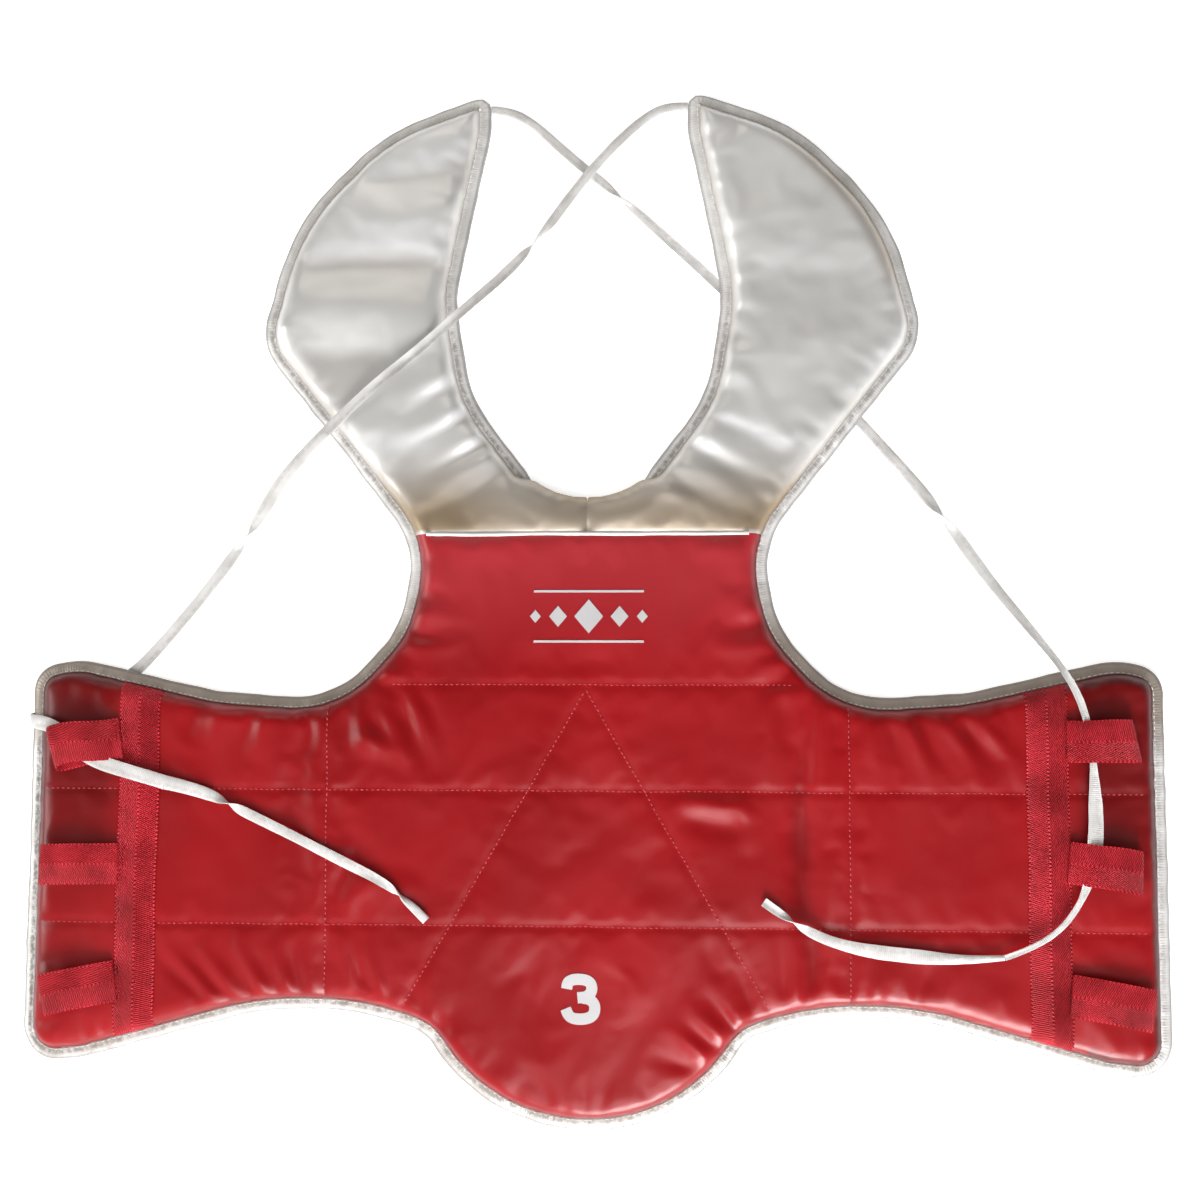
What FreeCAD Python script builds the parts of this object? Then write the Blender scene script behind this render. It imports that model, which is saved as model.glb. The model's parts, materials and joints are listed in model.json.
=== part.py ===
"""Soft chest protector for martial arts, lying flat with its front up.

Frame: +X to the wearer's left hand side of the front view, +Y towards the shoulder flaps, +Z out of the
front face. The origin is the middle of the padded vest, on the plane that it lies on. Millimetres.

The vest is built in five padded sections (torso, two wings, two shoulder flaps), each with a back lining,
a foam core, a front cover and an edge binding. The sections meet at fold lines, 0.4 mm apart.
"""
import FreeCAD, Part
import math
import os
import Sketcher
from FreeCAD import Placement, Rotation, Vector

doc = FreeCAD.newDocument("chest_protector")

# ---------------------------------------------------------------- driving dimensions

# corners of the right half of the vest's outline: name, x, y and rounding radius
OUTLINE = [
    ("lobe", 58.5, -323.0, 110.0),
    ("lobe_side", 99.0, -266.5, 20.0),
    ("hem", 165.5, -243.5, 200.0),
    ("hem_end", 311.5, -284.0, 50.0),
    ("wing_heel", 351.0, -288.0, 22.0),
    ("wing_toe", 350.0, -43.5, 18.0),
    ("wing_top", 322.0, -37.0, 50.0),
    ("under_arm", 231.0, -57.5, 90.0),
    ("arm_low", 158.5, -62.5, 60.0),
    ("arm_side", 118.5, -18.0, 55.0),
    ("waist", 107.5, 33.0, 55.0),
    ("flap_out", 209.5, 163.0, 35.0),
    ("flap_side", 190.0, 241.0, 140.0),
    ("flap_top", 131.5, 300.5, 120.0),
    ("tip", 62.0, 325.0, 4.0),
    ("neck_tip", 63.0, 297.0, 40.0),
    ("neck_wide", 84.5, 191.5, 80.0),
    ("neck_turn", 74.0, 127.5, 80.0),
    ("neck_low", 27.0, 65.5, 50.0),
]

DRIVING = {
    "lining_thick": 1.0,
    "foam_thick": 11.0,
    "cover_thick": 1.0,
    "binding_width": 7.0,
    "binding_thick": 3.4,
    "binding_round": 1.2,
    "cover_round": 5.0,
    "section_lift": 1.8,
    "fold_gap": 0.2,
    "wing_fold_x": 160.0,
    "flap_fold_y": 100.0,
    "seam_y": 40.5,
    "piping_width": 2.4,
    "piping_thick": 2.0,
    "piping_half": 98.0,
    "centre_gap": 0.1,
    "webbing_width": 25.0,
    "webbing_thick": 1.2,
    "strip_thick": 1.4,
    "strip_x": 278.0,
    "strip_top": -64.0,
    "strip_bottom": -262.0,
    "loop_length": 44.0,
    "loop_gap": 5.0,
    "loop_start": 2.4,
    "loop_ramp": 10.0,
    "loop_drop": 1.3,
    "loop_clear": 0.3,
    "lace_width": 9.0,
    "lace_thick": 1.1,
}

sheet = doc.addObject("Spreadsheet::Sheet", "dims")


def write_cell(row, alias, value):
    """One row of the sheet: the name in column A, the number in column B."""
    sheet.set(f"A{row}", alias)
    sheet.set(f"B{row}", str(value))
    sheet.setAlias(f"B{row}", alias)


row = 1
for alias, value in DRIVING.items():
    write_cell(row, alias, value)
    row += 1
for corner, x, y, radius in OUTLINE:
    for part_name, value in (("x", x), ("y", y), ("radius", radius)):
        write_cell(row, f"{corner}_{part_name}", value)
        row += 1
doc.recompute()


def dim(alias):
    """A driving dimension read back from the sheet."""
    return float(sheet.get(alias))


# ---------------------------------------------------------------- outlines


def corner_arc(before, corner, after, radius):
    """The arc of the given radius that rounds a corner, tangent to both of its runs."""
    back = (before - corner).normalize()
    ahead = (after - corner).normalize()
    half_turn = (math.pi - back.getAngle(ahead)) / 2
    reach = radius * math.tan(half_turn)
    middle_way = (back + ahead).normalize()
    to_arc = radius / math.cos(half_turn) - radius
    return corner + back * reach, corner + middle_way * to_arc, corner + ahead * reach


def rounded_edges(arcs, first, last):
    """Straight runs joined by arcs, from one point to another."""
    edges, here = [], first
    for start, middle, end in arcs:
        if (start - here).Length > 1e-4:
            edges.append(Part.LineSegment(here, start).toShape())
        edges.append(Part.Arc(start, middle, end).toShape())
        here = end
    if (last - here).Length > 1e-4:
        edges.append(Part.LineSegment(here, last).toShape())
    return edges


def rounded_loop(corners):
    """A closed wire through rounded corners."""
    count = len(corners)
    arcs = []
    for i, (corner, radius) in enumerate(corners):
        before, after = corners[i - 1][0], corners[(i + 1) % count][0]
        arcs.append(corner_arc(before, corner, after, radius))
    return Part.Wire(rounded_edges(arcs, arcs[-1][2], arcs[-1][2]))


def vest_face():
    """The vest's whole outline as a flat face: the right half and its mirror image."""
    right = [
        (Vector(dim(f"{name}_x"), dim(f"{name}_y"), 0), dim(f"{name}_radius")) for name, *_ in OUTLINE
    ]
    left = [(Vector(-p.x, p.y, 0), radius) for p, radius in reversed(right)]
    face = Part.Face(rounded_loop(right + left))
    face.translate(Vector(0, -face.optimalBoundingBox().Center.y, 0))
    return face


def rectangle(x_low, x_high, y_low, y_high):
    return Part.makePlane(x_high - x_low, y_high - y_low, Vector(x_low, y_low, 0))


FAR = 400.0
VEST = vest_face()
PADDED = VEST.makeOffset2D(-dim("binding_width"))
FOAM = PADDED.makeOffset2D(-dim("cover_thick"))
RIM = VEST.cut(PADDED)

fold_x, fold_y, gap = dim("wing_fold_x"), dim("flap_fold_y"), dim("fold_gap")
TORSO_ZONE = rectangle(gap - fold_x, fold_x - gap, -FAR, 0).fuse(rectangle(-FAR, FAR, 0, fold_y - gap))
ZONES = {
    "torso": TORSO_ZONE.removeSplitter(),
    "left_wing": rectangle(-FAR, -fold_x - gap, -FAR, 0),
    "right_wing": rectangle(fold_x + gap, FAR, -FAR, 0),
    "left_flap": rectangle(-FAR, 0, fold_y + gap, FAR),
    "right_flap": rectangle(0, FAR, fold_y + gap, FAR),
}


def cut_to(face, zone):
    """The pieces of a flat face that lie in a zone."""
    return face.common(zone).Faces


# ---------------------------------------------------------------- building blocks

subparts = {}


def keep(node, obj):
    """Names an object as a sub-part, to be checked and written out."""
    obj.Label = node
    subparts[node] = obj
    return obj


def new_body(name):
    return doc.addObject("PartDesign::Body", name)


def origin_plane(body, role):
    return next(f for f in body.Origin.OriginFeatures if f.Role == role)


def new_sketch(body, name, role):
    """An empty sketch on one of the body's own origin planes."""
    sketch = body.newObject("Sketcher::SketchObject", name)
    sketch.AttachmentSupport = [(origin_plane(body, role), "")]
    sketch.MapMode = "FlatFace"
    doc.recompute()
    return sketch


def trace(sketch, wires):
    """Draws wires that lie in the sketch's plane, as lines and arcs."""
    to_sketch = sketch.Placement.inverse()
    for wire in wires:
        for edge in wire.Edges:
            ends = [edge.valueAt(t) for t in (edge.FirstParameter, edge.LastParameter)]
            middle = edge.valueAt((edge.FirstParameter + edge.LastParameter) / 2)
            start, end, middle = [to_sketch.multVec(p) for p in (*ends, middle)]
            if edge.Curve.TypeId == "Part::GeomLine":
                sketch.addGeometry(Part.LineSegment(start, end))
            else:
                sketch.addGeometry(Part.Arc(start, middle, end))


def pad(body, sketch, length, midplane=False):
    """Pads a sketch by an expression of the sheet's dimensions."""
    feature = body.newObject("PartDesign::Pad", body.Name + "_pad")
    feature.Profile = sketch
    feature.Midplane = midplane
    feature.setExpression("Length", length)
    doc.recompute()
    return feature


def edges_on(shape, wire, height):
    """Names of a solid's edges that lie over a wire at a height."""
    found = []
    for number, edge in enumerate(shape.Edges, 1):
        middle = edge.valueAt((edge.FirstParameter + edge.LastParameter) / 2)
        level = max(abs(v.Z - height) for v in edge.Vertexes) < 1e-3
        on_wire = wire.distToShape(Part.Vertex(middle.x, middle.y, 0))[0] < 1e-3
        if level and on_wire:
            found.append(f"Edge{number}")
    return found


def layer(name, face, thickness, base, round_radius=None, round_wire=None):
    """A flat layer: the face padded to a thickness, raised to its base, its upper outer edges rounded."""
    body = new_body(name)
    sketch = new_sketch(body, name + "_outline", "XY_Plane")
    trace(sketch, [face.OuterWire])
    top = pad(body, sketch, thickness)
    if round_radius:
        rounding = body.newObject("PartDesign::Fillet", name + "_round")
        edges = edges_on(top.Shape, round_wire, top.Length.Value)
        rounding.Base = (top, edges)
        rounding.setExpression("Radius", round_radius)
        doc.recompute()
    body.setExpression("Placement.Base.z", base)
    return body


# ---------------------------------------------------------------- padded sections


def padded_section(name, zone, lift, covers):
    """Lining, foam core and front covers of one section. covers maps each cover's node to its face."""
    keep(f"{name}_lining", layer(f"{name}_lining", cut_to(PADDED, zone)[0], "dims.lining_thick", lift))
    foam = layer(
        f"{name}_foam",
        cut_to(FOAM, zone)[0],
        "dims.foam_thick",
        f"{lift} + dims.lining_thick",
        "dims.cover_round - dims.cover_thick",
        FOAM.OuterWire,
    )
    keep(f"{name}_foam", foam)
    for node, face in covers.items():
        blank = layer(
            node + "_blank",
            face,
            "dims.foam_thick + dims.cover_thick",
            f"{lift} + dims.lining_thick",
            "dims.cover_round",
            PADDED.OuterWire,
        )
        shell = doc.addObject("Part::Cut", node)
        shell.Base = blank
        shell.Tool = foam
        keep(node, shell)


def binding(node, face, lift):
    """A length of edge tape, with the seam allowance that it wraps."""
    tape = layer(node, face, "dims.binding_thick", lift, "dims.binding_round", VEST.OuterWire)
    keep(node, tape)


def torso():
    seam, half_piping, half_gap = dim("seam_y"), dim("piping_width") / 2, dim("centre_gap")
    zone = ZONES["torso"]
    panel = cut_to(PADDED, zone.common(rectangle(-FAR, FAR, -FAR, seam - half_piping)))[0]
    yokes = {}
    for node, x_low, x_high in (("yoke_left", -FAR, -half_gap), ("yoke_right", half_gap, FAR)):
        side = rectangle(x_low, x_high, seam + half_piping, FAR)
        yokes[node] = cut_to(PADDED, zone.common(side))[0]
    padded_section("torso", zone, "0", {"front_panel": panel, **yokes})
    for face in cut_to(RIM, zone):
        centre = face.CenterOfMass
        if abs(centre.x) > 10:
            node = "right_arm_binding" if centre.x > 0 else "left_arm_binding"
        else:
            node = "neck_binding" if centre.y > 0 else "hem_binding"
        binding(node, face, "0")


def side_sections():
    for name in ("left_wing", "right_wing", "left_flap", "right_flap"):
        zone = ZONES[name]
        padded_section(name, zone, "dims.section_lift", {f"{name}_cover": cut_to(PADDED, zone)[0]})
        binding(f"{name}_binding", cut_to(RIM, zone)[0], "dims.section_lift")


def bar(node, centre_x, centre_y, size_x, size_y, thickness, base):
    """A flat bar: its sizes, place and height are expressions of the sheet's dimensions."""
    body = new_body(node)
    sketch = new_sketch(body, node + "_outline", "XY_Plane")
    corners = [Vector(-5, -5, 0), Vector(5, -5, 0), Vector(5, 5, 0), Vector(-5, 5, 0)]
    for side in range(4):
        sketch.addGeometry(Part.LineSegment(corners[side], corners[(side + 1) % 4]))
    for side in range(4):
        level = "Vertical" if side % 2 else "Horizontal"
        sketch.addConstraint(Sketcher.Constraint("Coincident", side, 2, (side + 1) % 4, 1))
        sketch.addConstraint(Sketcher.Constraint(level, side))
    sketch.addConstraint(Sketcher.Constraint("Symmetric", 0, 1, 2, 1, -1, 1))
    across = sketch.addConstraint(Sketcher.Constraint("DistanceX", 0, 1, 0, 2, 10))
    along = sketch.addConstraint(Sketcher.Constraint("DistanceY", 1, 1, 1, 2, 10))
    sketch.setExpression(f"Constraints[{across}]", size_x)
    sketch.setExpression(f"Constraints[{along}]", size_y)
    pad(body, sketch, thickness)
    body.setExpression("Placement.Base.x", centre_x)
    body.setExpression("Placement.Base.y", centre_y)
    body.setExpression("Placement.Base.z", base)
    return keep(node, body)


def piping():
    """The piping along the seam between the front panel and the yokes, sewn down onto the foam."""
    base = "dims.lining_thick + dims.foam_thick"
    bar("seam_piping", "0", "dims.seam_y", "2 * dims.piping_half", "dims.piping_width", "dims.piping_thick", base)


WING_TOP = "dims.section_lift + dims.lining_thick + dims.foam_thick + dims.cover_thick"


def webbing_strips():
    for side, sign in (("left", "-"), ("right", "")):
        centre_y = "(dims.strip_top + dims.strip_bottom) / 2"
        length = "dims.strip_top - dims.strip_bottom"
        width = "dims.webbing_width"
        bar(f"{side}_strip", f"{sign}dims.strip_x", centre_y, width, length, "dims.strip_thick", WING_TOP)


# ---------------------------------------------------------------- webbing loops

# each loop: side, name, middle of its root on the strip in y, and how far it droops from square, in degrees
LOOPS = [
    ("left", "top", -87.0, 8.0),
    ("left", "middle", -164.0, 0.0),
    ("left", "bottom", -235.5, 8.0),
    ("right", "top", -86.5, 0.0),
    ("right", "middle", -158.5, 6.0),
    ("right", "bottom", -236.5, 6.0),
]


def loop_profile():
    """Outer and inner outlines of a folded loop seen from its side: flat at the root, open at the fold."""
    thick, length, start = dim("webbing_thick"), dim("loop_length"), dim("loop_start")
    ramp, low = dim("loop_ramp"), -dim("loop_drop")
    height = dim("loop_gap") + 2 * thick
    root, sharp = start + 1.5, 0.3
    run, rise = ramp - root, height - 2 * thick
    shift = thick * (math.hypot(run, rise) - run) / rise
    outer = [
        (start, low, sharp),
        (length, low, height / 2),
        (length, low + height, height / 2),
        (ramp, low + height, 4.0),
        (root, low + 2 * thick, 1.0),
        (start, low + 2 * thick, sharp),
    ]
    inner = [
        (ramp + shift - run, low + thick, sharp),
        (length - thick, low + thick, height / 2 - thick),
        (length - thick, low + height - thick, height / 2 - thick),
        (ramp + shift, low + height - thick, 2.8),
    ]
    return [rounded_loop([(Vector(u, 0, w), radius) for u, w, radius in outline]) for outline in (outer, inner)]


def webbing_loops():
    """Six loops of folded webbing. Each one's own X axis runs out from its hinge line at the strip's edge."""
    for side, name, y, droop in LOOPS:
        node = f"{side}_loop_{name}"
        body = new_body(node)
        sketch = new_sketch(body, node + "_profile", "XZ_Plane")
        trace(sketch, loop_profile())
        pad(body, sketch, "dims.webbing_width", midplane=True)
        sign = 1 if side == "right" else -1
        turn = -droop if side == "right" else 180 + droop
        hinge = Vector(sign * (dim("strip_x") + dim("webbing_width") / 2), y, 0)
        body.Placement = Placement(hinge, Rotation(Vector(0, 0, 1), turn))
        body.setExpression("Placement.Base.z", f"{WING_TOP} + dims.loop_clear + dims.loop_drop")
        keep(node, body)


# ---------------------------------------------------------------- laces

# Each lace's route, as points that its runs join. A lace starts in the binding at a flap's tip.
LACES = {
    "left_lace_upper": [
        (-62.9, 314.0, 3.4),
        (-50.0, 313.5, 3.2),
        (-34.0, 304.0, 1.4),
        (-12.0, 283.0, 0.7),
        (14.0, 262.0, 0.6),
        (58.0, 221.5, 0.6),
        (104.0, 177.5, 0.6),
        (148.0, 136.0, 0.6),
        (182.0, 97.0, 0.6),
    ],
    "left_lace_middle": [
        (182.0, 97.0, 0.6),
        (216.0, 58.0, 0.6),
        (247.0, 15.0, 0.9),
        (273.0, -18.0, 8.0),
        (292.0, -44.0, 18.4),
        (306.0, -64.0, 19.2),
        (312.5, -88.0, 18.8),
        (313.5, -118.0, 18.0),
        (314.0, -147.0, 18.8),
        (312.5, -176.0, 18.8),
        (300.0, -197.0, 18.8),
        (278.0, -209.0, 18.8),
        (253.0, -214.5, 17.5),
    ],
    "left_lace_end": [
        (253.0, -214.5, 17.5),
        (228.0, -220.0, 16.2),
        (196.0, -217.5, 16.2),
        (164.0, -214.0, 16.0),
        (140.0, -206.0, 15.0),
        (120.0, -192.0, 14.4),
        (108.0, -183.5, 14.3),
    ],
    "right_lace_upper": [
        (62.9, 314.0, 3.4),
        (50.0, 315.0, 3.6),
        (33.0, 305.5, 4.4),
        (10.0, 283.0, 5.0),
        (-9.0, 260.0, 5.0),
        (-30.0, 231.0, 4.6),
        (-53.0, 204.5, 9.6),
        (-74.0, 183.5, 18.0),
        (-106.0, 155.0, 17.4),
        (-140.0, 128.0, 17.4),
        (-164.0, 104.0, 16.4),
    ],
    "right_lace_middle": [
        (-164.0, 104.0, 16.4),
        (-188.0, 80.0, 15.4),
        (-208.0, 51.0, 5.0),
        (-232.0, 18.0, 0.9),
        (-260.0, -17.0, 0.6),
        (-290.0, -50.0, 0.6),
        (-322.0, -66.0, 0.6),
        (-354.0, -68.0, 0.7),
        (-361.0, -68.2, 9.0),
        (-354.0, -68.0, 17.6),
        (-339.0, -69.0, 18.4),
        (-326.5, -80.0, 18.8),
        (-318.5, -97.0, 18.8),
        (-307.0, -108.0, 18.6),
        (-284.0, -113.0, 18.8),
        (-260.0, -116.5, 17.6),
    ],
    "right_lace_end": [
        (-260.0, -116.5, 17.6),
        (-236.0, -120.0, 16.4),
        (-212.0, -132.0, 16.2),
        (-182.0, -145.0, 16.2),
        (-150.0, -161.0, 15.4),
        (-122.0, -174.5, 14.4),
        (-106.0, -188.0, 14.3),
        (-97.0, -197.0, 14.2),
    ],
}
ARC_SHARE = 0.45


def lace_route(node, points):
    """Straight runs joined by arcs as large as the runs allow."""
    arcs, radii = [], []
    for before, corner, after in zip(points, points[1:], points[2:]):
        back, ahead = before - corner, after - corner
        half_turn = (math.pi - back.getAngle(ahead)) / 2
        radius = ARC_SHARE * min(back.Length, ahead.Length) / math.tan(half_turn)
        arcs.append(corner_arc(before, corner, after, radius))
        radii.append(radius)
    print(node, "radii", [round(r) for r in radii])
    route = doc.addObject("Part::Feature", node + "_route")
    route.Shape = Part.Wire(rounded_edges(arcs, points[0], points[-1]))
    return route


def lace_section(node, start, toward):
    """The lace's flat rectangular section, across its first run."""
    ahead = (toward - start).normalize()
    across = ahead.cross(Vector(0, 0, 1)).normalize() * (dim("lace_width") / 2)
    above = across.cross(ahead).normalize() * (dim("lace_thick") / 2)
    corners = [start + across + above, start - across + above, start - across - above, start + across - above]
    section = doc.addObject("Part::Feature", node + "_section")
    section.Shape = Part.makePolygon(corners + corners[:1])
    return section


def laces():
    for node, coordinates in LACES.items():
        points = [Vector(*p) for p in coordinates]
        route = lace_route(node, points)
        lace = doc.addObject("Part::Sweep", node)
        lace.Sections = [lace_section(node, points[0], points[1])]
        lace.Spine = (route, [f"Edge{i + 1}" for i in range(len(route.Shape.Edges))])
        lace.Solid = True
        lace.Frenet = False
        doc.recompute()
        ideal = dim("lace_width") * dim("lace_thick") * route.Shape.Length
        print(node, "length", round(route.Shape.Length), "volume share", round(lace.Shape.Volume / ideal, 3))
        keep(node, lace)


# ---------------------------------------------------------------- checks and export


def check_document():
    for obj in doc.Objects:
        if {"Invalid", "Error"} & set(obj.State):
            raise SystemExit(f"{obj.Label} failed: {obj.State}")
    for node, obj in subparts.items():
        shape = obj.Shape
        if shape.isNull() or not shape.isValid() or not shape.Solids:
            raise SystemExit(f"{node} has no valid solid")


torso()
side_sections()
piping()
webbing_strips()
webbing_loops()
laces()
doc.recompute()
check_document()
os.makedirs("parts", exist_ok=True)
for node, obj in subparts.items():
    obj.Shape.exportStep(f"parts/{node}.step")
print(len(subparts), "sub-parts written")
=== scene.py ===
"""Looks of a soft chest protector that lies flat with its front up. Metres, in the CAD's frame."""
import json
import math

import bmesh
import bpy
import numpy as np
from mathutils import Matrix, Vector, noise
from mathutils.bvhtree import BVHTree


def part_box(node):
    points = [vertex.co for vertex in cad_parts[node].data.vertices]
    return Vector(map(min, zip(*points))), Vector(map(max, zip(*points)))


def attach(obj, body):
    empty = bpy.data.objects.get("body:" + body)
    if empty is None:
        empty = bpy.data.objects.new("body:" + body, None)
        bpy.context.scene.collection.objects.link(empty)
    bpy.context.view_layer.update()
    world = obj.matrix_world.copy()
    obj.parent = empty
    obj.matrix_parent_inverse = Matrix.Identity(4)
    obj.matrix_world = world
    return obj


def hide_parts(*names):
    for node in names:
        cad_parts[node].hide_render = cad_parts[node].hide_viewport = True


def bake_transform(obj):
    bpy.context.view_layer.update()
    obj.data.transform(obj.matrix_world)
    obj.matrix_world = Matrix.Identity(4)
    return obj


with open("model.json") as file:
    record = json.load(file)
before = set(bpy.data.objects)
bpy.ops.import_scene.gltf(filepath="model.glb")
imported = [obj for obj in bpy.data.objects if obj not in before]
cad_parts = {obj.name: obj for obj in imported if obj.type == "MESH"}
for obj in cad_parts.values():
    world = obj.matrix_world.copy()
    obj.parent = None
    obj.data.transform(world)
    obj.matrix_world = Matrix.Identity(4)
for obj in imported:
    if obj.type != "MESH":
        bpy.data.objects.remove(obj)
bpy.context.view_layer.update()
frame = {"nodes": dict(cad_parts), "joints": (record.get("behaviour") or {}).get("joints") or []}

# ---- places taken from the CAD

MM = 0.001
JOINTS = {joint["name"]: joint for joint in frame["joints"]}
FOLD_X = JOINTS["right_wing_fold"]["pos_m"][0]
FOLD_Y = JOINTS["right_flap_fold"]["pos_m"][1]
SEAM_Y = sum(corner.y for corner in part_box("seam_piping")) / 2
SEAM_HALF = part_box("seam_piping")[1].x
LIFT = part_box("left_wing_lining")[0].z
PAD_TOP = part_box("front_panel")[1].z
TAPE_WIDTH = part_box("right_wing_binding")[1].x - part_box("right_wing_lining")[1].x
STRIP_START, STRIP_END = (corner.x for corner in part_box("right_strip"))
WEB_WIDTH, STRIP_X = STRIP_END - STRIP_START, (STRIP_END + STRIP_START) / 2
SECTIONS = ("torso", "left_wing", "right_wing", "left_flap", "right_flap")
# the y between the hem and the arm side, at every x of the wings
HALF_Y = -0.16

# quilting: each line's two ends, on the right half where it has a mirror image
ROW_TOP, ROW_MIDDLE, ROW_LOW = -0.053, -0.118, -0.2
ROWS = [
    ((-0.121, ROW_TOP), (0.129, ROW_TOP)),
    ((-0.338, ROW_MIDDLE), (0.338, ROW_MIDDLE)),
    ((-0.338, ROW_LOW), (0.338, ROW_LOW)),
]
DIAGONAL = ((0.0, -0.056), (0.1115, -0.249))
UPRIGHT = ((FOLD_X, -0.066), (FOLD_X, -0.244))


def mirrored(line):
    return tuple((-x, y) for x, y in line)


QUILTING = ROWS + [DIAGONAL, mirrored(DIAGONAL), UPRIGHT, mirrored(UPRIGHT)]


# ---- small helpers

SHARP = math.radians(55)
X_WAY, Y_WAY, UP = Vector((1, 0, 0)), Vector((0, 1, 0)), Vector((0, 0, 1))


def smooth(t):
    """0 to 1 with soft ends."""
    t = np.clip(t, 0, 1)
    return t * t * (3 - 2 * t)


def wave(values, scale, seed):
    """Smooth noise along one coordinate, about -1 to 1."""
    places = [Vector((v / scale, seed * 7.13, 0.37)) for v in np.ravel(values)]
    return np.array([noise.noise(place) for place in places]) * 1.6


def wave_at(value, scale, seed):
    """The same noise at one place."""
    return float(wave(value, scale, seed)[0])


def field(points, scale, seed):
    """Smooth noise over the plane, about -1 to 1."""
    places = [Vector((x / scale, y / scale, seed * 5.71)) for x, y in points]
    return np.array([noise.noise(place) for place in places]) * 1.6


def lengths_along(line):
    """How far along an open line each of its points lies."""
    return np.concatenate([[0], np.cumsum(np.linalg.norm(np.diff(line, axis=0), axis=1))])


def points_at(line, lengths, at):
    """The points of a line at some distances along it."""
    return np.column_stack([np.interp(at, lengths, column) for column in np.transpose(line)])


def unit_rows(rows):
    return rows / np.linalg.norm(rows, axis=1)[:, None]


def left_of(line):
    """Directions in the plane, square to a line at each of its points."""
    tangent = np.gradient(line, axis=0)
    return unit_rows(np.column_stack([-tangent[:, 1], tangent[:, 0]]))


def new_object(name, vertices, faces, material):
    mesh = bpy.data.meshes.new(name)
    mesh.from_pydata([tuple(v) for v in vertices], [], faces)
    mesh.validate()
    mesh.update()
    mesh.polygons.foreach_set("use_smooth", [True] * len(mesh.polygons))
    obj = bpy.data.objects.new(name, mesh)
    bpy.context.scene.collection.objects.link(obj)
    mesh.materials.append(material)
    mesh.set_sharp_from_angle(angle=SHARP)
    return obj


def put_attribute(obj, name, values):
    """One number per vertex, for the material to read."""
    attribute = obj.data.attributes.new(name, "FLOAT", "POINT")
    attribute.data.foreach_set("value", np.asarray(values, np.float32))


def bake_modifiers(obj):
    """Replaces the mesh by what its modifiers make of it."""
    graph = bpy.context.evaluated_depsgraph_get()
    finished = obj.evaluated_get(graph)
    mesh = bpy.data.meshes.new_from_object(finished, preserve_all_data_layers=True, depsgraph=graph)
    obj.modifiers.clear()
    obj.data = mesh
    mesh.set_sharp_from_angle(angle=SHARP)


def give_thickness(obj, thickness, offset):
    shell = obj.modifiers.new("shell", "SOLIDIFY")
    shell.thickness, shell.offset = thickness, offset
    bake_modifiers(obj)


def tube_faces(count, size):
    """Faces that join a number of rings of points into a skin, with its two ends filled."""
    faces = []
    for start in range(0, (count - 1) * size, size):
        for j in range(size):
            k = (j + 1) % size
            faces.append([start + j, start + k, start + size + k, start + size + j])
    faces.append(list(range(size))[::-1])
    faces.append([(count - 1) * size + j for j in range(size)])
    return faces


def joined(parts):
    """The vertices and faces of several skins, each given by its rings of points."""
    vertices, faces = [], []
    for rings in parts:
        skin = tube_faces(len(rings), len(rings[0]))
        faces += [[i + len(vertices) for i in face] for face in skin]
        vertices += [point for ring in rings for point in ring]
    return vertices, faces


def skin(name, rings, material):
    """One object whose skin runs along rings of points."""
    return new_object(name, *joined([rings]), material)


def segment_distance(points, starts, ends):
    """Each point's distance to the nearest of the segments, and that segment's number and share."""
    best = np.full(len(points), 1e9)
    which = np.zeros(len(points), int)
    share = np.zeros(len(points))
    for number, (start, end) in enumerate(zip(starts, ends)):
        run = end - start
        t = np.clip(((points - start) @ run) / max(run @ run, 1e-12), 0, 1)
        gap = np.hypot(*(points - start - t[:, None] * run).T)
        closer = gap < best
        best[closer], which[closer], share[closer] = gap[closer], number, t[closer]
    return best, which, share


# ---- camera, light and floor


def make_camera():
    """Straight above the middle of the vest, a little tilted."""
    turn = Matrix.Identity(3)
    for degrees, axis in ((0.049, "Z"), (-3.279, "Y"), (-4.156, "X")):
        turn = turn @ Matrix.Rotation(math.radians(degrees), 3, axis)
    place = turn.transposed() @ Vector((0.0077, 0.0, 0.9375))
    data = bpy.data.cameras.new("camera")
    data.lens, data.sensor_width = 45.0, 36.0
    camera = bpy.data.objects.new("camera", data)
    camera.matrix_world = Matrix.Translation(place) @ turn.transposed().to_4x4()
    bpy.context.scene.collection.objects.link(camera)
    bpy.context.scene.camera = camera


def area_light(name, place, target, size, power, colour):
    data = bpy.data.lights.new(name, "AREA")
    data.shape, data.size, data.energy, data.color = "SQUARE", size, power, colour
    light = bpy.data.objects.new(name, data)
    light.location = place
    light.rotation_euler = (Vector(target) - Vector(place)).to_track_quat("-Z", "Y").to_euler()
    bpy.context.scene.collection.objects.link(light)


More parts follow.
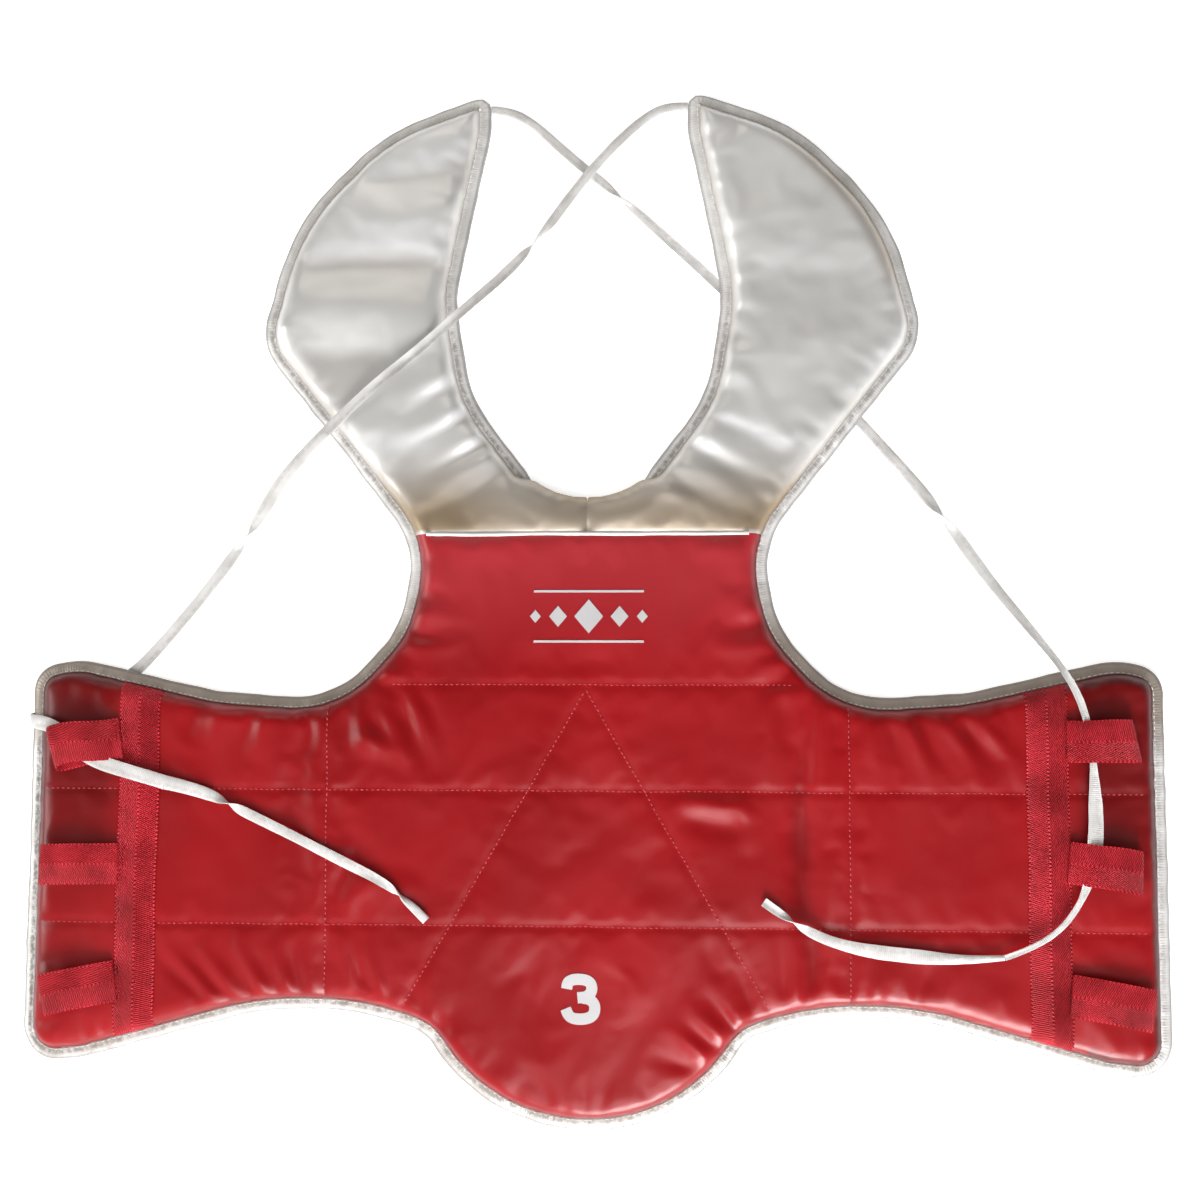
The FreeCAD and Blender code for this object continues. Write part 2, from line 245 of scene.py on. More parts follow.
def make_studio():
    """A pale room: daylight from the hem's side, dimmer and warmer past the flaps."""
    n = Nodes(bpy.data.worlds.new("studio"), "Background")
    bpy.context.scene.world = n.owner
    way = n.add("ShaderNodeSeparateXYZ")
    n.join(n.add("ShaderNodeTexCoord").outputs["Generated"], way.inputs[0])
    across = n.spread(way.outputs["Y"], -1, 1, 0, 1)
    room = n.ramp(across, (0.0, (1.05, 1.05, 1.07)), (0.64, (0.12, 0.095, 0.07)))
    low_down = n.spread(way.outputs["Z"], 0.5, 0.25, 0, 1)
    n.join(n.mix(low_down, room, (1.1, 1.1, 1.1)), n.shader.inputs["Color"])
    n.set(n.shader, Strength=0.68)
    area_light("window", (0.3, -1.8, 0.85), (0, -0.02, 0), 0.9, 56, (1.0, 0.99, 1.0))
    area_light("upper_window", (0.1, -1.0, 1.3), (0, 0, 0), 0.6, 5.0, (1.0, 0.99, 1.0))
    area_light("far_side", (-0.4, 1.9, 1.5), (0, 0.1, 0), 1.1, 6, (1.0, 0.95, 0.88))
    area_light("left_side", (-1.9, -0.1, 1.0), (0, 0, 0), 0.9, 15, (1.0, 0.98, 0.95))
    bpy.context.scene.view_settings.view_transform = "Standard"


def make_floor():
    far, low = 30.0, -0.0004
    corners = [(-far, -far, low), (far, -far, low), (far, far, low), (-far, far, low)]
    new_object("floor", corners, [(0, 1, 2, 3)], floor_material())


# ---- materials


class Nodes:
    """The node tree of a material or world, with short calls to add and join nodes."""

    def __init__(self, owner, shader="Principled BSDF"):
        self.owner = owner
        owner.use_nodes = True
        self.tree = owner.node_tree
        self.shader = self.tree.nodes[shader]

    def add(self, kind, **settings):
        node = self.tree.nodes.new(kind)
        for key, value in settings.items():
            setattr(node, key, value)
        return node

    def set(self, node, **values):
        for key, value in values.items():
            node.inputs[key.replace("_", " ")].default_value = value
        return node

    def join(self, out, into):
        self.tree.links.new(out, into)

    def attribute(self, name):
        return self.add("ShaderNodeAttribute", attribute_name=name).outputs["Fac"]

    def place(self):
        return self.add("ShaderNodeTexCoord").outputs["Object"]

    def math(self, operation, *values):
        node = self.add("ShaderNodeMath", operation=operation)
        for socket, value in zip(node.inputs, values):
            if isinstance(value, (int, float)):
                socket.default_value = value
            else:
                self.join(value, socket)
        return node.outputs[0]

    def times(self, first, second):
        return self.math("MULTIPLY", first, second)

    def plus(self, first, second):
        return self.math("ADD", first, second)

    def minus(self, first, second):
        return self.math("SUBTRACT", first, second)

    def ribs(self, along, pitch):
        """A sine wave that repeats after each pitch, in metres."""
        return self.math("SINE", self.times(along, 2 * math.pi / pitch))

    def noise(self, scale, detail=2.0, roughness=0.5, vector=None):
        node = self.add("ShaderNodeTexNoise")
        self.set(node, Scale=scale, Detail=detail, Roughness=roughness)
        self.join(vector or self.place(), node.inputs["Vector"])
        return node.outputs["Fac"]

    def ramp(self, value, *stops):
        node = self.add("ShaderNodeValToRGB")
        elements = node.color_ramp.elements
        while len(elements) < len(stops):
            elements.new(0.5)
        for element, (position, colour) in zip(elements, stops):
            element.position, element.color = position, (*colour, 1)
        self.join(value, node.inputs["Fac"])
        return node.outputs["Color"]

    def mix(self, share, first, second):
        """Blends a colour output into a fixed colour by a share."""
        node = self.add("ShaderNodeMix", data_type="RGBA")
        self.join(share, node.inputs[0])
        self.join(first, node.inputs[6])
        node.inputs[7].default_value = (*second, 1)
        return node.outputs[2]

    def spread(self, value, low, high, out_low, out_high):
        """Maps low to high onto another range."""
        node = self.add("ShaderNodeMapRange")
        self.set(node, From_Min=low, From_Max=high, To_Min=out_low, To_Max=out_high)
        self.join(value, node.inputs["Value"])
        return node.outputs["Result"]

    def colour(self, value):
        self.join(value, self.shader.inputs["Base Color"])

    def gloss(self, value, roughness, under, over):
        """Roughness that wanders a little under and over its usual value."""
        rough = self.spread(value, 0.3, 0.7, roughness - under, roughness + over)
        self.join(rough, self.shader.inputs["Roughness"])

    def bump(self, *layers):
        """Bump layers, each a height, its strength and its depth in metres."""
        normal = None
        for height, strength, depth in layers:
            node = self.set(self.add("ShaderNodeBump"), Strength=strength, Distance=depth)
            self.join(height, node.inputs["Height"])
            if normal:
                self.join(normal, node.inputs["Normal"])
            normal = node.outputs["Normal"]
        self.join(normal, self.shader.inputs["Normal"])


def new_material(name):
    return Nodes(bpy.data.materials.new(name))


def floor_material():
    n = new_material("floor_paper")
    n.colour(n.ramp(n.noise(3.0), (0.3, (0.86, 0.86, 0.86)), (0.7, (0.89, 0.89, 0.885))))
    n.set(n.shader, Roughness=0.9, Emission_Color=(1, 1, 1, 1), Emission_Strength=0.65)
    n.bump((n.noise(900.0), 0.1, 0.0002))
    return n.owner


def vinyl(name, dark, light, crease_shade, roughness, metal=0.0):
    """Artificial leather: fine grain, slow changes of tone and gloss, painted shade in hollows,
    painted sheen.
    """
    n = new_material(name)
    tint = n.ramp(n.noise(9.0, 3.0), (0.35, dark), (0.68, light))
    # painted sheen: blends in a paler, pinker red by the attribute's share
    tint = n.mix(n.attribute("pale"), tint, (0.44, 0.032, 0.042))
    # painted shade: blends the tone toward the darker shade tone by the attribute's share
    n.colour(n.mix(n.attribute("painted_shade"), tint, crease_shade))
    n.gloss(n.noise(28.0, 4.0, 0.6), roughness, 0.05, 0.07)
    cells = n.set(n.add("ShaderNodeTexVoronoi", feature="DISTANCE_TO_EDGE"), Scale=1150.0)
    n.join(n.place(), cells.inputs["Vector"])
    grain = n.spread(cells.outputs["Distance"], 0.0, 0.12, 0.0, 1.0)
    n.bump((grain, 0.12, 0.00005), (n.noise(240.0, 4.0, 0.65), 0.3, 0.0002))
    n.set(n.shader, Specular_IOR_Level=0.36, Metallic=metal, Coat_Weight=0.06, Coat_Roughness=0.3)
    return n.owner


def woven_tape(name, dark, light, crease_shade, rib, roughness, metal):
    """Satin tape: ribs across its length, crinkles deepest where it is gathered, and painted shade.
    """
    n = new_material(name)
    along, across = n.attribute("along"), n.attribute("across")
    ribs = n.ribs(along, rib)
    lengthwise = n.add("ShaderNodeCombineXYZ")
    n.join(along, lengthwise.inputs["X"])
    n.join(n.times(across, 0.8), lengthwise.inputs["Y"])
    crinkles = n.noise(330.0, 3.0, 0.6, lengthwise.outputs["Vector"])
    off_middle = n.math("ABSOLUTE", n.minus(across, 0.0019))
    middle = n.spread(off_middle, 0.0006, 0.0021, 1.0, 0.15)
    gathers = n.times(n.spread(crinkles, 0.42, 0.66, 1.0, 0.0), middle)
    # painted shade in the crinkles' hollows, as strong as the attribute says
    depth = n.times(gathers, n.attribute("crinkle_shade"))
    cloth = n.ramp(n.plus(n.noise(60.0, 3.0), n.times(ribs, 0.06)), (0.3, dark), (0.62, light))
    # painted brown shade where the tape faces away from the light, over the painted crinkle shade
    cloth = n.mix(n.attribute("painted_tape_shade"), n.mix(depth, cloth, crease_shade), (0.33, 0.27, 0.215))
    # painted shade: a dark outline along the tape's outer edge
    n.colour(n.mix(n.attribute("rim"), cloth, (0.10, 0.095, 0.09)))
    n.gloss(n.noise(140.0, 3.0), roughness, 0.08, 0.1)
    n.set(n.shader, Metallic=metal)
    n.bump((crinkles, 0.3, 0.0004), (ribs, 0.4, 0.00012))
    return n.owner


def webbing_material():
    """Red webbing: slanting ribs on one half, finer ones on the other, dotted middle and edges."""
    n = new_material("webbing_red")
    along, across = n.attribute("along"), n.attribute("across")
    slanting = n.ribs(n.minus(n.times(along, 0.8), n.times(across, 1.5)), 0.0017)
    fine = n.ribs(n.plus(along, n.times(across, 0.45)), 0.0012)
    inner = n.math("GREATER_THAN", across, 0.0)
    weave = n.plus(slanting, n.times(inner, n.minus(fine, slanting)))
    beside = n.math("ABSOLUTE", across)
    lines = n.plus(n.math("LESS_THAN", beside, 0.0006), n.math("GREATER_THAN", beside, 0.0116))
    weave = n.plus(weave, n.times(lines, n.minus(n.ribs(along, 0.0024), weave)))
    tone = n.plus(n.noise(45.0, 3.0), n.times(weave, 0.26))
    deep, middle, bright = (0.2, 0.0015, 0.005), (0.42, 0.005, 0.012), (0.68, 0.03, 0.05)
    n.colour(n.ramp(tone, (0.2, deep), (0.5, middle), (0.82, bright)))
    n.set(n.shader, Roughness=0.58, Specular_IOR_Level=0.24)
    n.bump((weave, 1.0, 0.0003), (n.noise(900.0), 0.3, 0.0001))
    return n.owner


def lining_material():
    """Plain woven nylon, a warm white."""
    n = new_material("lining_weave")
    waves = []
    for way in "XY":
        node = n.set(n.add("ShaderNodeTexWave", bands_direction=way), Scale=160.0)
        n.join(n.place(), node.inputs["Vector"])
        waves.append(node.outputs["Fac"])
    weave = n.times(*waves)
    tone = n.plus(n.noise(12.0, 3.0), n.times(weave, 0.12))
    n.colour(n.ramp(tone, (0.3, (0.66, 0.65, 0.63)), (0.75, (0.8, 0.79, 0.77))))
    n.set(n.shader, Roughness=0.78)
    n.bump((weave, 0.5, 0.0002))
    return n.owner


def thread_material(name, dark, light):
    n = new_material(name)
    n.colour(n.ramp(n.noise(700.0), (0.3, dark), (0.7, light)))
    n.set(n.shader, Roughness=0.55)
    n.bump((n.noise(3200.0), 0.5, 0.0001))
    return n.owner


def print_material():
    """White screen print, slightly worn."""
    n = new_material("print_white")
    n.colour(n.ramp(n.noise(420.0, 5.0, 0.7), (0.27, (0.6, 0.3, 0.3)), (0.36, (0.56, 0.55, 0.56))))
    n.set(n.shader, Roughness=0.5)
    n.bump((n.noise(900.0), 0.3, 0.00006))
    return n.owner


# dark tone, light tone and the tone of the painted shade in creases and other shaded spots
RED_TONES = (0.255, 0.0022, 0.0045), (0.335, 0.0045, 0.0075), (0.085, 0.0006, 0.0012)
WHITE_TONES = (0.70, 0.70, 0.685), (0.79, 0.795, 0.79), (0.32, 0.245, 0.16)
PIPING_TONES = (0.74, 0.73, 0.71), (0.82, 0.81, 0.80), (0.6, 0.55, 0.5)
TAPE_TONES = (0.68, 0.665, 0.645), (0.86, 0.855, 0.845), (0.24, 0.22, 0.2)
LACE_TONES = (0.56, 0.55, 0.535), (0.76, 0.755, 0.745), (0.36, 0.34, 0.32)
RED = vinyl("vinyl_red", *RED_TONES, 0.33)
WHITE = vinyl("vinyl_white", *WHITE_TONES, 0.37, 0.42)
PIPING = vinyl("vinyl_piping", *PIPING_TONES, 0.34)
TAPE = woven_tape("tape_satin", *TAPE_TONES, 0.0016, 0.4, 0.3)
LACE = woven_tape("lace_satin", *LACE_TONES, 0.0012, 0.44, 0.1)
WEBBING = webbing_material()
LINING = lining_material()
RED_THREAD = thread_material("thread_red", (0.36, 0.012, 0.018), (0.54, 0.045, 0.06))
WHITE_THREAD = thread_material("thread_white", (0.74, 0.73, 0.71), (0.9, 0.89, 0.88))
PRINT = print_material()


# ---- outline of the padded area


def underside_loop(node):
    """The outline of a CAD slab's underside, in order."""
    bm = bmesh.new()
    bm.from_mesh(frame["nodes"][node].data)
    bmesh.ops.remove_doubles(bm, verts=bm.verts, dist=1e-6)
    low = min(v.co.z for v in bm.verts)
    flat = [f for f in bm.faces if all(abs(v.co.z - low) < 1e-5 for v in f.verts)]
    below = set(flat)
    rim = [e for f in flat for e in f.edges if sum(other in below for other in e.link_faces) == 1]
    neighbours = {}
    for edge in rim:
        first, second = edge.verts
        neighbours.setdefault(first, []).append(second)
        neighbours.setdefault(second, []).append(first)
    start = here = rim[0].verts[0]
    last, loop = None, []
    while not loop or here != start:
        loop.append((here.co.x, here.co.y))
        last, here = here, next(v for v in neighbours[here] if v != last)
    bm.free()
    return loop


def on_fold(point):
    """Moves a point of the narrow gap between two sections onto the fold line in its middle."""
    x, y = point
    if abs(abs(x) - FOLD_X) < 0.0004 and y < 0:
        x = math.copysign(FOLD_X, x)
    if abs(y - FOLD_Y) < 0.0004:
        y = FOLD_Y
    return x, y


def padded_area():
    """One flat mesh of all five sections, not yet cut into a grid."""
    bm = bmesh.new()
    for section in SECTIONS:
        loop = [on_fold(p) for p in underside_loop(f"{section}_lining")]
        bm.faces.new([bm.verts.new((x, y, 0)) for x, y in loop])
    bmesh.ops.remove_doubles(bm, verts=bm.verts, dist=0.0006)
    for face in bm.faces:
        if face.normal.z < 0:
            face.normal_flip()
    return bm


def area_outline(bm):
    """The padded area's outline as even points, counterclockwise, from the hem's middle."""
    rim = [e for e in bm.edges if len(e.link_faces) == 1]
    loops = [edge.link_loops[0] for edge in rim]
    onward = {loop.vert: loop.link_loop_next.vert for loop in loops}
    here = start = rim[0].verts[0]
    points = []
    while not points or here != start:
        points.append((here.co.x, here.co.y))
        here = onward[here]
    return evenly_spaced(np.array(points), 0.0015)


def evenly_spaced(points, step):
    closed = np.vstack([points, points[:1]])
    lengths = lengths_along(closed)
    count = int(round(lengths[-1] / step))
    even = points_at(closed, lengths, np.linspace(0, lengths[-1], count, endpoint=False))
    return np.roll(even, -nearest(even, *HEM_MIDDLE), axis=0)


def nearest(points, x, y):
    """The number of the point nearest to a place."""
    return int(np.argmin(np.hypot(points[:, 0] - x, points[:, 1] - y)))


def outward_normals(points):
    tangent = np.roll(points, -2, axis=0) - np.roll(points, 2, axis=0)
    normal = np.column_stack([tangent[:, 1], -tangent[:, 0]])
    for _ in range(2):
        normal = normal + np.roll(normal, 1, axis=0) + np.roll(normal, -1, axis=0)
    return unit_rows(normal)


HEM_MIDDLE = (0.0, -0.35)
AREA = padded_area()
OUTLINE = area_outline(AREA)
OUTWARD = outward_normals(OUTLINE)
OUTLINE_STEP = float(np.hypot(*(OUTLINE[1] - OUTLINE[0])))


# ---- height of the cover

GRID = 0.003
# height of the cover at the tape, and how far from it the rounded edge reaches
EDGE_LOW, EDGE_REACH = 0.0034, 0.013
# valleys along the quilting, the seam and the yokes' middle seam: depth and half width
VALLEY = (0.0009, 0.0017)
SEAM_VALLEY = (0.0024, 0.0035)
MIDDLE_VALLEY = (0.0022, 0.003)


def lift(x, y):
    """How far the wings and flaps are raised by the laces under them."""
    wing = smooth((np.abs(x) - FOLD_X + 0.008) / 0.02) * (y < 0)
    flap = smooth((y - FOLD_Y + 0.012) / 0.024)
    return LIFT * np.maximum(wing, flap)


def edge_shape(distance):
    """The pad's rounded edge: 0 at the tape, 1 on top."""
    t = np.clip(distance / EDGE_REACH, 0, 1)
    return (1 - (1 - t) ** 2.4) ** (1 / 2.1)


# fans of small folds gathered at an edge: the first fold's ends and the last one's in mm, each from
# the edge inwards, how many, half width and the first one's height in mm; they rise and dip in turn
FANS = [
    ((-77, 148, -122, 121), (-40, 86, -112, 47), 8, 5.8, 1.75),
    ((-79, 188, -93, 169), (-69, 112, -88, 118), 3, 5, -0.9),
    ((-186, 148, -159, 126), (-192, 145, -168, 122), 2, 4.5, -1.1),
    ((71, 133, 107, 143), (68, 125, 108, 134), 2, 6, 1.2),
    ((68, 115, 123, 86), (38, 71, 98, 45), 6, 6.2, -1.75),
    ((76, 168, 112, 157), (76, 156, 126, 128), 2, 8, -1.1),
    ((127, 97, 107, 110), (163, 109, 139, 120), 3, 5, 0.9),
    ((-116, -31, -72, -34), (-110, -1, -91, -2), 4, 6, 1.3),
    ((-128, -44, -109, -53), (-131, -51, -113, -59), 2, 4, 1.3),
    ((127, -37, 100, -49), (129, -44, 106, -54), 2, 4.2, 1.4),
    ((122, -29, 70, -34), (112, 4, 87, 10), 4, 5.6, 1.3),
    ((-134, -70, -108, -118), (-102, -54, -84, -106), 5, 6, -1.7),
    ((-141, -66, -133, -104), (-180, -65, -183, -100), 5, 5, 1.4),
    ((-197, -66, -199, -104), (-240, -60, -247, -88), 4, 6, 1.3),
    ((-232, -248, -276, -209), (-172, -243, -180, -212), 9, 4.6, -1.5),
    ((-141, -237, -156, -203), (-123, -243, -138, -212), 3, 4.3, 1.4),
    ((-82, -269, -98, -248), (-96, -256, -115, -233), 3, 4, -1.2),
    ((152, -62, 147, -118), (144, -62, 139, -126), 2, 5.5, -1.6),
    ((121, -246, 118, -203), (135, -244, 133, -205), 3, 5, -1.5),
    ((121, -60, 121, -104), (112, -58, 110, -108), 2, 6, -1.2),
    ((171, -69, 180, -114), (236, -73, 266, -106), 7, 5.1, 1.4),
    ((155, -243, 159, -208), (212, -249, 232, -213), 4, 5.8, -1.1),
    ((103, -254, 88, -222), (70, -284, 42, -272), 7, 4.5, -1.6),
]
# single broad folds, highest in their middle: ends, half width and height in mm
BROAD_FOLDS = [
    (-148, 262, -58, 272, 13, -2.9),
    (-158, 244, -66, 250, 17, 2.4),
    (-195, 208, -82, 212, 12, -3.5),
    (-199, 184, -96, 176, 22, 3.2),
    (-186, 152, -118, 158, 14, -2.6),
    (64, 232, 150, 244, 18, 1.1),
    (83, 263, 132, 186, 20, 1.2),
    (92, 196, 178, 206, 17, -1.4),
    (96, 150, 168, 164, 16, 1.4),
    (-86, 31, -48, 31, 7, 0.8),
    (63, 29, 102, 30, 7, 0.8),
    (-53, -40, 33, -39, 8, -0.7),
    (-177, -64, -175, -200, 11, -1.7),
    (-160, -64, -160, -196, 9, 1.5),
    (-144, -83, -110, -99, 7, 2.8),
    (-90, 60, 90, 60, 26, 2.2),
    (134, -56, 136, -234, 8, -3.0),
    (150, -62, 152, -196, 10, 1.6),
    (-157, -188, -140, -152, 5, -1.2),
    (-150, -190, -128, -168, 6, 1.1),
    (-143, -173, -101, -179, 8, 0.8),
    (-158, -124, -141, -155, 7, -1.0),
    (56, -124, 102, -129, 6, 1.7),
    (58, -134, 100, -141, 7, -1.8),
    (93, -117, 101, -153, 6, 1.0),
    (163, -140, 167, -200, 6, 0.8),
    (73, -207, 83, -233, 6, -0.9),
    (70, -186, 91, -192, 5, 0.9),
    (3, -202, 33, -249, 14, 0.8),
    (-52, -214, -15, -267, 14, -0.7),
    (-16, -99, -15, -160, 16, 0.7),
    (33, -153, 45, -183, 12, -0.7),
]


def fan_folds():
    """Each small fold's ends in mm, half width and height, a little uneven within its fan."""
    folds = []
    for first, last, count, half, height in FANS:
        for k in range(count):
            drift = 0.15 * math.sin(5.3 * k + first[0]) * (0 < k < count - 1)
            share = (k + drift) / (count - 1)
            ends = (1 - share) * np.array(first) + share * np.array(last)
            ends[2:] += 4 * np.sin(3.7 * k + np.array([0.0, 2.0]))
            folds.append((ends, half, height * (-1) ** k * (0.9 + 0.2 * math.sin(4.1 * k))))
    return folds


def along_and_across(points, start, end):
    """Each point's share of a line's length and distance to the line's left, and the length."""
    run = np.subtract(end, start)
    length = np.hypot(*run)
    across = (points - start) @ np.array([-run[1], run[0]]) / length
    return (points - start) @ run / length**2, across, length


def one_fold(points, ends, half, height, bow, tapered):
    """A soft fold: a tapered one starts at an edge and widens as it fades."""
    start, end = np.array(ends).reshape(2, 2) * MM
    along, across, length = along_and_across(points, start, end)
    across = across - bow * length * ((along - 0.5) ** 2 - 0.12)
    if tapered:
        place = np.clip((along + 0.1) / 1.35, 0, 1)
        fade = smooth(place * 3.6) * (1 - smooth((place - 0.25) / 0.75)) * 1.25
        width = half * MM * (0.6 + 0.9 * place)
    else:
        place = np.clip((along + 0.18) / 1.36, 0, 1)
        fade, width = smooth(np.minimum(place, 1 - place) * 2.6), half * MM
    return height * MM * fade * np.exp(-((across / width) ** 2))


def fold_height(points):
    """Sum of all the soft folds."""
    total = np.zeros(len(points))
    for number, (ends, half, height) in enumerate(fan_folds()):
        total += one_fold(points, ends, half, height, 0.3 * math.sin(2.4 * number), True)
    for number, fold in enumerate(BROAD_FOLDS):
        total += one_fold(points, fold[:4], fold[4], fold[5], 0.25 * math.sin(1.7 * number), False)
    return total


def quilt_valleys(points):
    """Depth of the valleys along the quilting, with small puckers square to each line."""
    depth = np.zeros(len(points))
    puckers = np.zeros(len(points))
    for number, (start, end) in enumerate(QUILTING):
        gap, _, share = segment_distance(points, [np.array(start)], [np.array(end)])
        _, across, length = along_and_across(points, start, end)
        depth = np.maximum(depth, VALLEY[0] * np.exp(-gap / VALLEY[1]))
        near = gap < 0.03
        gap, along, side = gap[near], share[near] * length, np.sign(across[near])
        ripple = wave(along + side * 0.4, 0.0075, number + 3)
        ripple += 0.6 * wave(along, 0.017, number + 31)
        puckers[near] += 0.0003 * ripple * np.exp(-gap / 0.0085) * (1 - np.exp(-gap / 0.0012))
    return depth, puckers


def edge_puckers(distance, where):
    """Small gathers along the tape."""
    along = where * OUTLINE_STEP
    ripple = wave(along, 0.0068, 11) + 0.7 * wave(along, 0.016, 12)
    strength = 0.35 + 0.65 * np.clip(wave(along, 0.12, 13) + 0.3, 0, 1)
    return 0.0013 * ripple * strength * np.exp(-((distance - 0.005) ** 2) / 0.0085**2)


def seam_valleys(x, y):
    """Depth of the valleys at the seam under the yokes and at the yokes' middle seam."""
    seam_gap = np.where(np.abs(x) < SEAM_HALF, np.abs(y - SEAM_Y), 1.0)
    middle_gap = np.where((y > SEAM_Y) & (y < FOLD_Y), np.abs(x), 1.0)
    depth = SEAM_VALLEY[0] * np.exp(-seam_gap / SEAM_VALLEY[1])
    return depth + MIDDLE_VALLEY[0] * np.exp(-middle_gap / MIDDLE_VALLEY[1])


def cover_height(points):
    """Height of the cover over the resting plane, and each point's distance to the edge."""
    x, y = points.T
    ends = np.roll(OUTLINE, -2, axis=0)
    distance, where, share = segment_distance(points, OUTLINE[::2], ends[::2])
    inner = smooth((distance - 0.002) / 0.012)
    valleys, puckers = quilt_valleys(points)
    swell = 0.0005 * field(points, 0.05, 1) + 0.00022 * field(points, 0.02, 2)
    swell += 0.00007 * field(points, 0.008, 3)
    top = PAD_TOP - 0.0009 - valleys + puckers + swell + fold_height(points) - seam_valleys(x, y)
    gathers = edge_puckers(distance, (where + share) * 2) * (0.4 + 0.6 * inner)
    return EDGE_LOW + (top - EDGE_LOW) * edge_shape(distance) + gathers, distance


def painted_shade_amount(points, height, distance):
    """Painted shade, 0 to 1: in creases, at the right wing's end, in the wings' corners, on yokes,
    far rim.
    """
    x, y = points.T
    white = y > SEAM_Y
    # painted shade in creases, stronger on the red than on the white
    crease_shade = np.clip((PAD_TOP - 0.0022 - height) / 0.004, 0, 1) * np.where(white, 0.35, 0.8)
    # painted shade: a dark band along the right wing's end, inside the tape
    end_rim_shade = 0.9 * smooth((0.0065 - distance) / 0.003) * (x > 0.3)
    # painted shade in the wings' outer upper corners
    corner = 0.65 * smooth((np.abs(x) - 0.285) / 0.02) * smooth((y + 0.2) / 0.09) * (y < 0)
    # painted tan shade low on the yokes by the seam, a little patchy
    patches = 0.14 * field(points, 0.06, 6) * smooth((0.2 - y) / 0.08)
    yoke = white * (0.92 * smooth((0.1 - y) / 0.055) + patches)
    # painted shade: a brown band along the right flap's far rim
    far_rim_shade = smooth((0.014 - distance) / 0.01) * smooth((x - 0.11) / 0.04)
    far_rim_shade = 0.5 * white * far_rim_shade * smooth((y - 0.17) / 0.05)
    return np.clip(crease_shade + end_rim_shade + corner + yoke + far_rim_shade, 0, 1)


def slice_faces(bm, way, places):
    """Cuts all faces along lines square to a direction, one at each place."""
    for place in places:
        geom = bm.faces[:] + bm.edges[:]
        bmesh.ops.bisect_plane(bm, geom=geom, dist=1e-6, plane_co=way * place, plane_no=way)


def cut_grid(bm):
    """Cuts the flat area into a fine grid with lines on the seam, folds and quilting rows."""
    off_grid = FOLD_X - round(FOLD_X / GRID) * GRID
    columns = [k * GRID for k in range(-120, 121)]
    columns = [x + math.copysign(off_grid, x) * min(abs(x) / FOLD_X, 1) for x in columns]
    marks = [-0.33, ROW_LOW, ROW_MIDDLE, ROW_TOP, SEAM_Y, FOLD_Y, 0.33]
    lines = []
    for low, high in zip(marks, marks[1:]):
        count = round((high - low) / GRID)
        lines += [low + (high - low) * k / count for k in range(count)]
    slice_faces(bm, X_WAY, columns)
    slice_faces(bm, Y_WAY, lines)
    for line in (DIAGONAL, mirrored(DIAGONAL)):
        cut_along(bm, line)
    bmesh.ops.remove_doubles(bm, verts=bm.verts, dist=0.0005)


def cut_along(bm, line):
    """Cuts the faces that a slanting line of stitches crosses."""
    (x0, y0), (x1, y1) = line
    middles = {f: f.calc_center_median() for f in bm.faces}
    faces = [f for f, middle in middles.items() if y1 < middle.y < y0 and 0 < middle.x * x1]
    geom = faces + list({e for f in faces for e in f.edges})
    across = (-(y1 - y0), x1 - x0, 0)
    bmesh.ops.bisect_plane(bm, geom=geom, dist=0.0004, plane_co=(x0, y0, 0), plane_no=across)


def raised_cover(bm):
    """The whole cover: vertices, faces, their middles, painted shade, how held and how slack it is.
    """
    cut_grid(bm)
    bm.verts.index_update()
    flat = np.array([(v.co.x, v.co.y) for v in bm.verts])
    height, distance = cover_height(flat)
    painted_shade = painted_shade_amount(flat, height, distance)
    height += lift(*flat.T)
    flat = roll_neck(flat, distance)
    faces = [[v.index for v in f.verts] for f in bm.faces]
    middles = np.array([flat[f].mean(axis=0) for f in faces])
    bm.free()
    vertices = np.column_stack([flat, height])
    return vertices, faces, middles, painted_shade, *grip_and_slack(flat, distance)


# the most that cloth grows in the simulation, as a share of its length
MOST_SLACK = 0.003
SIMULATED_FRAMES = 20
# half the width of the neck's low part, where no tape shows
NECK_HALF = 0.047
# how far in the cover's rim is pushed out there, and by how much
ROLL_REACH, ROLL = 0.009, 0.006


def neck_share(x, y):
    """1 where the cover is rolled over the neck's edge, with no tape in front."""
    return smooth((NECK_HALF - np.abs(x)) / 0.012) * ((y > SEAM_Y) & (y < FOLD_Y + 0.02))


def roll_neck(flat, distance):
    """Pushes the cover's rim out over the tape along the low part of the neck."""
    moved = flat.copy()
    share = neck_share(*flat.T)
    for i in np.flatnonzero((distance < ROLL_REACH) & (share > 0)):
        outward = OUTWARD[nearest(OUTLINE, *flat[i])]
        moved[i] += outward * ROLL * (1 - distance[i] / ROLL_REACH) * share[i]
    return moved


def add_group(sheet, name, shares):
    """A vertex group from one share per vertex, in steps of a twentieth."""
    group = sheet.vertex_groups.new(name=name)
    steps = np.round(np.clip(shares, 0, 1) * 20)
    for level in range(21):
        group.add([int(i) for i in np.flatnonzero(steps == level)], level / 20, "REPLACE")


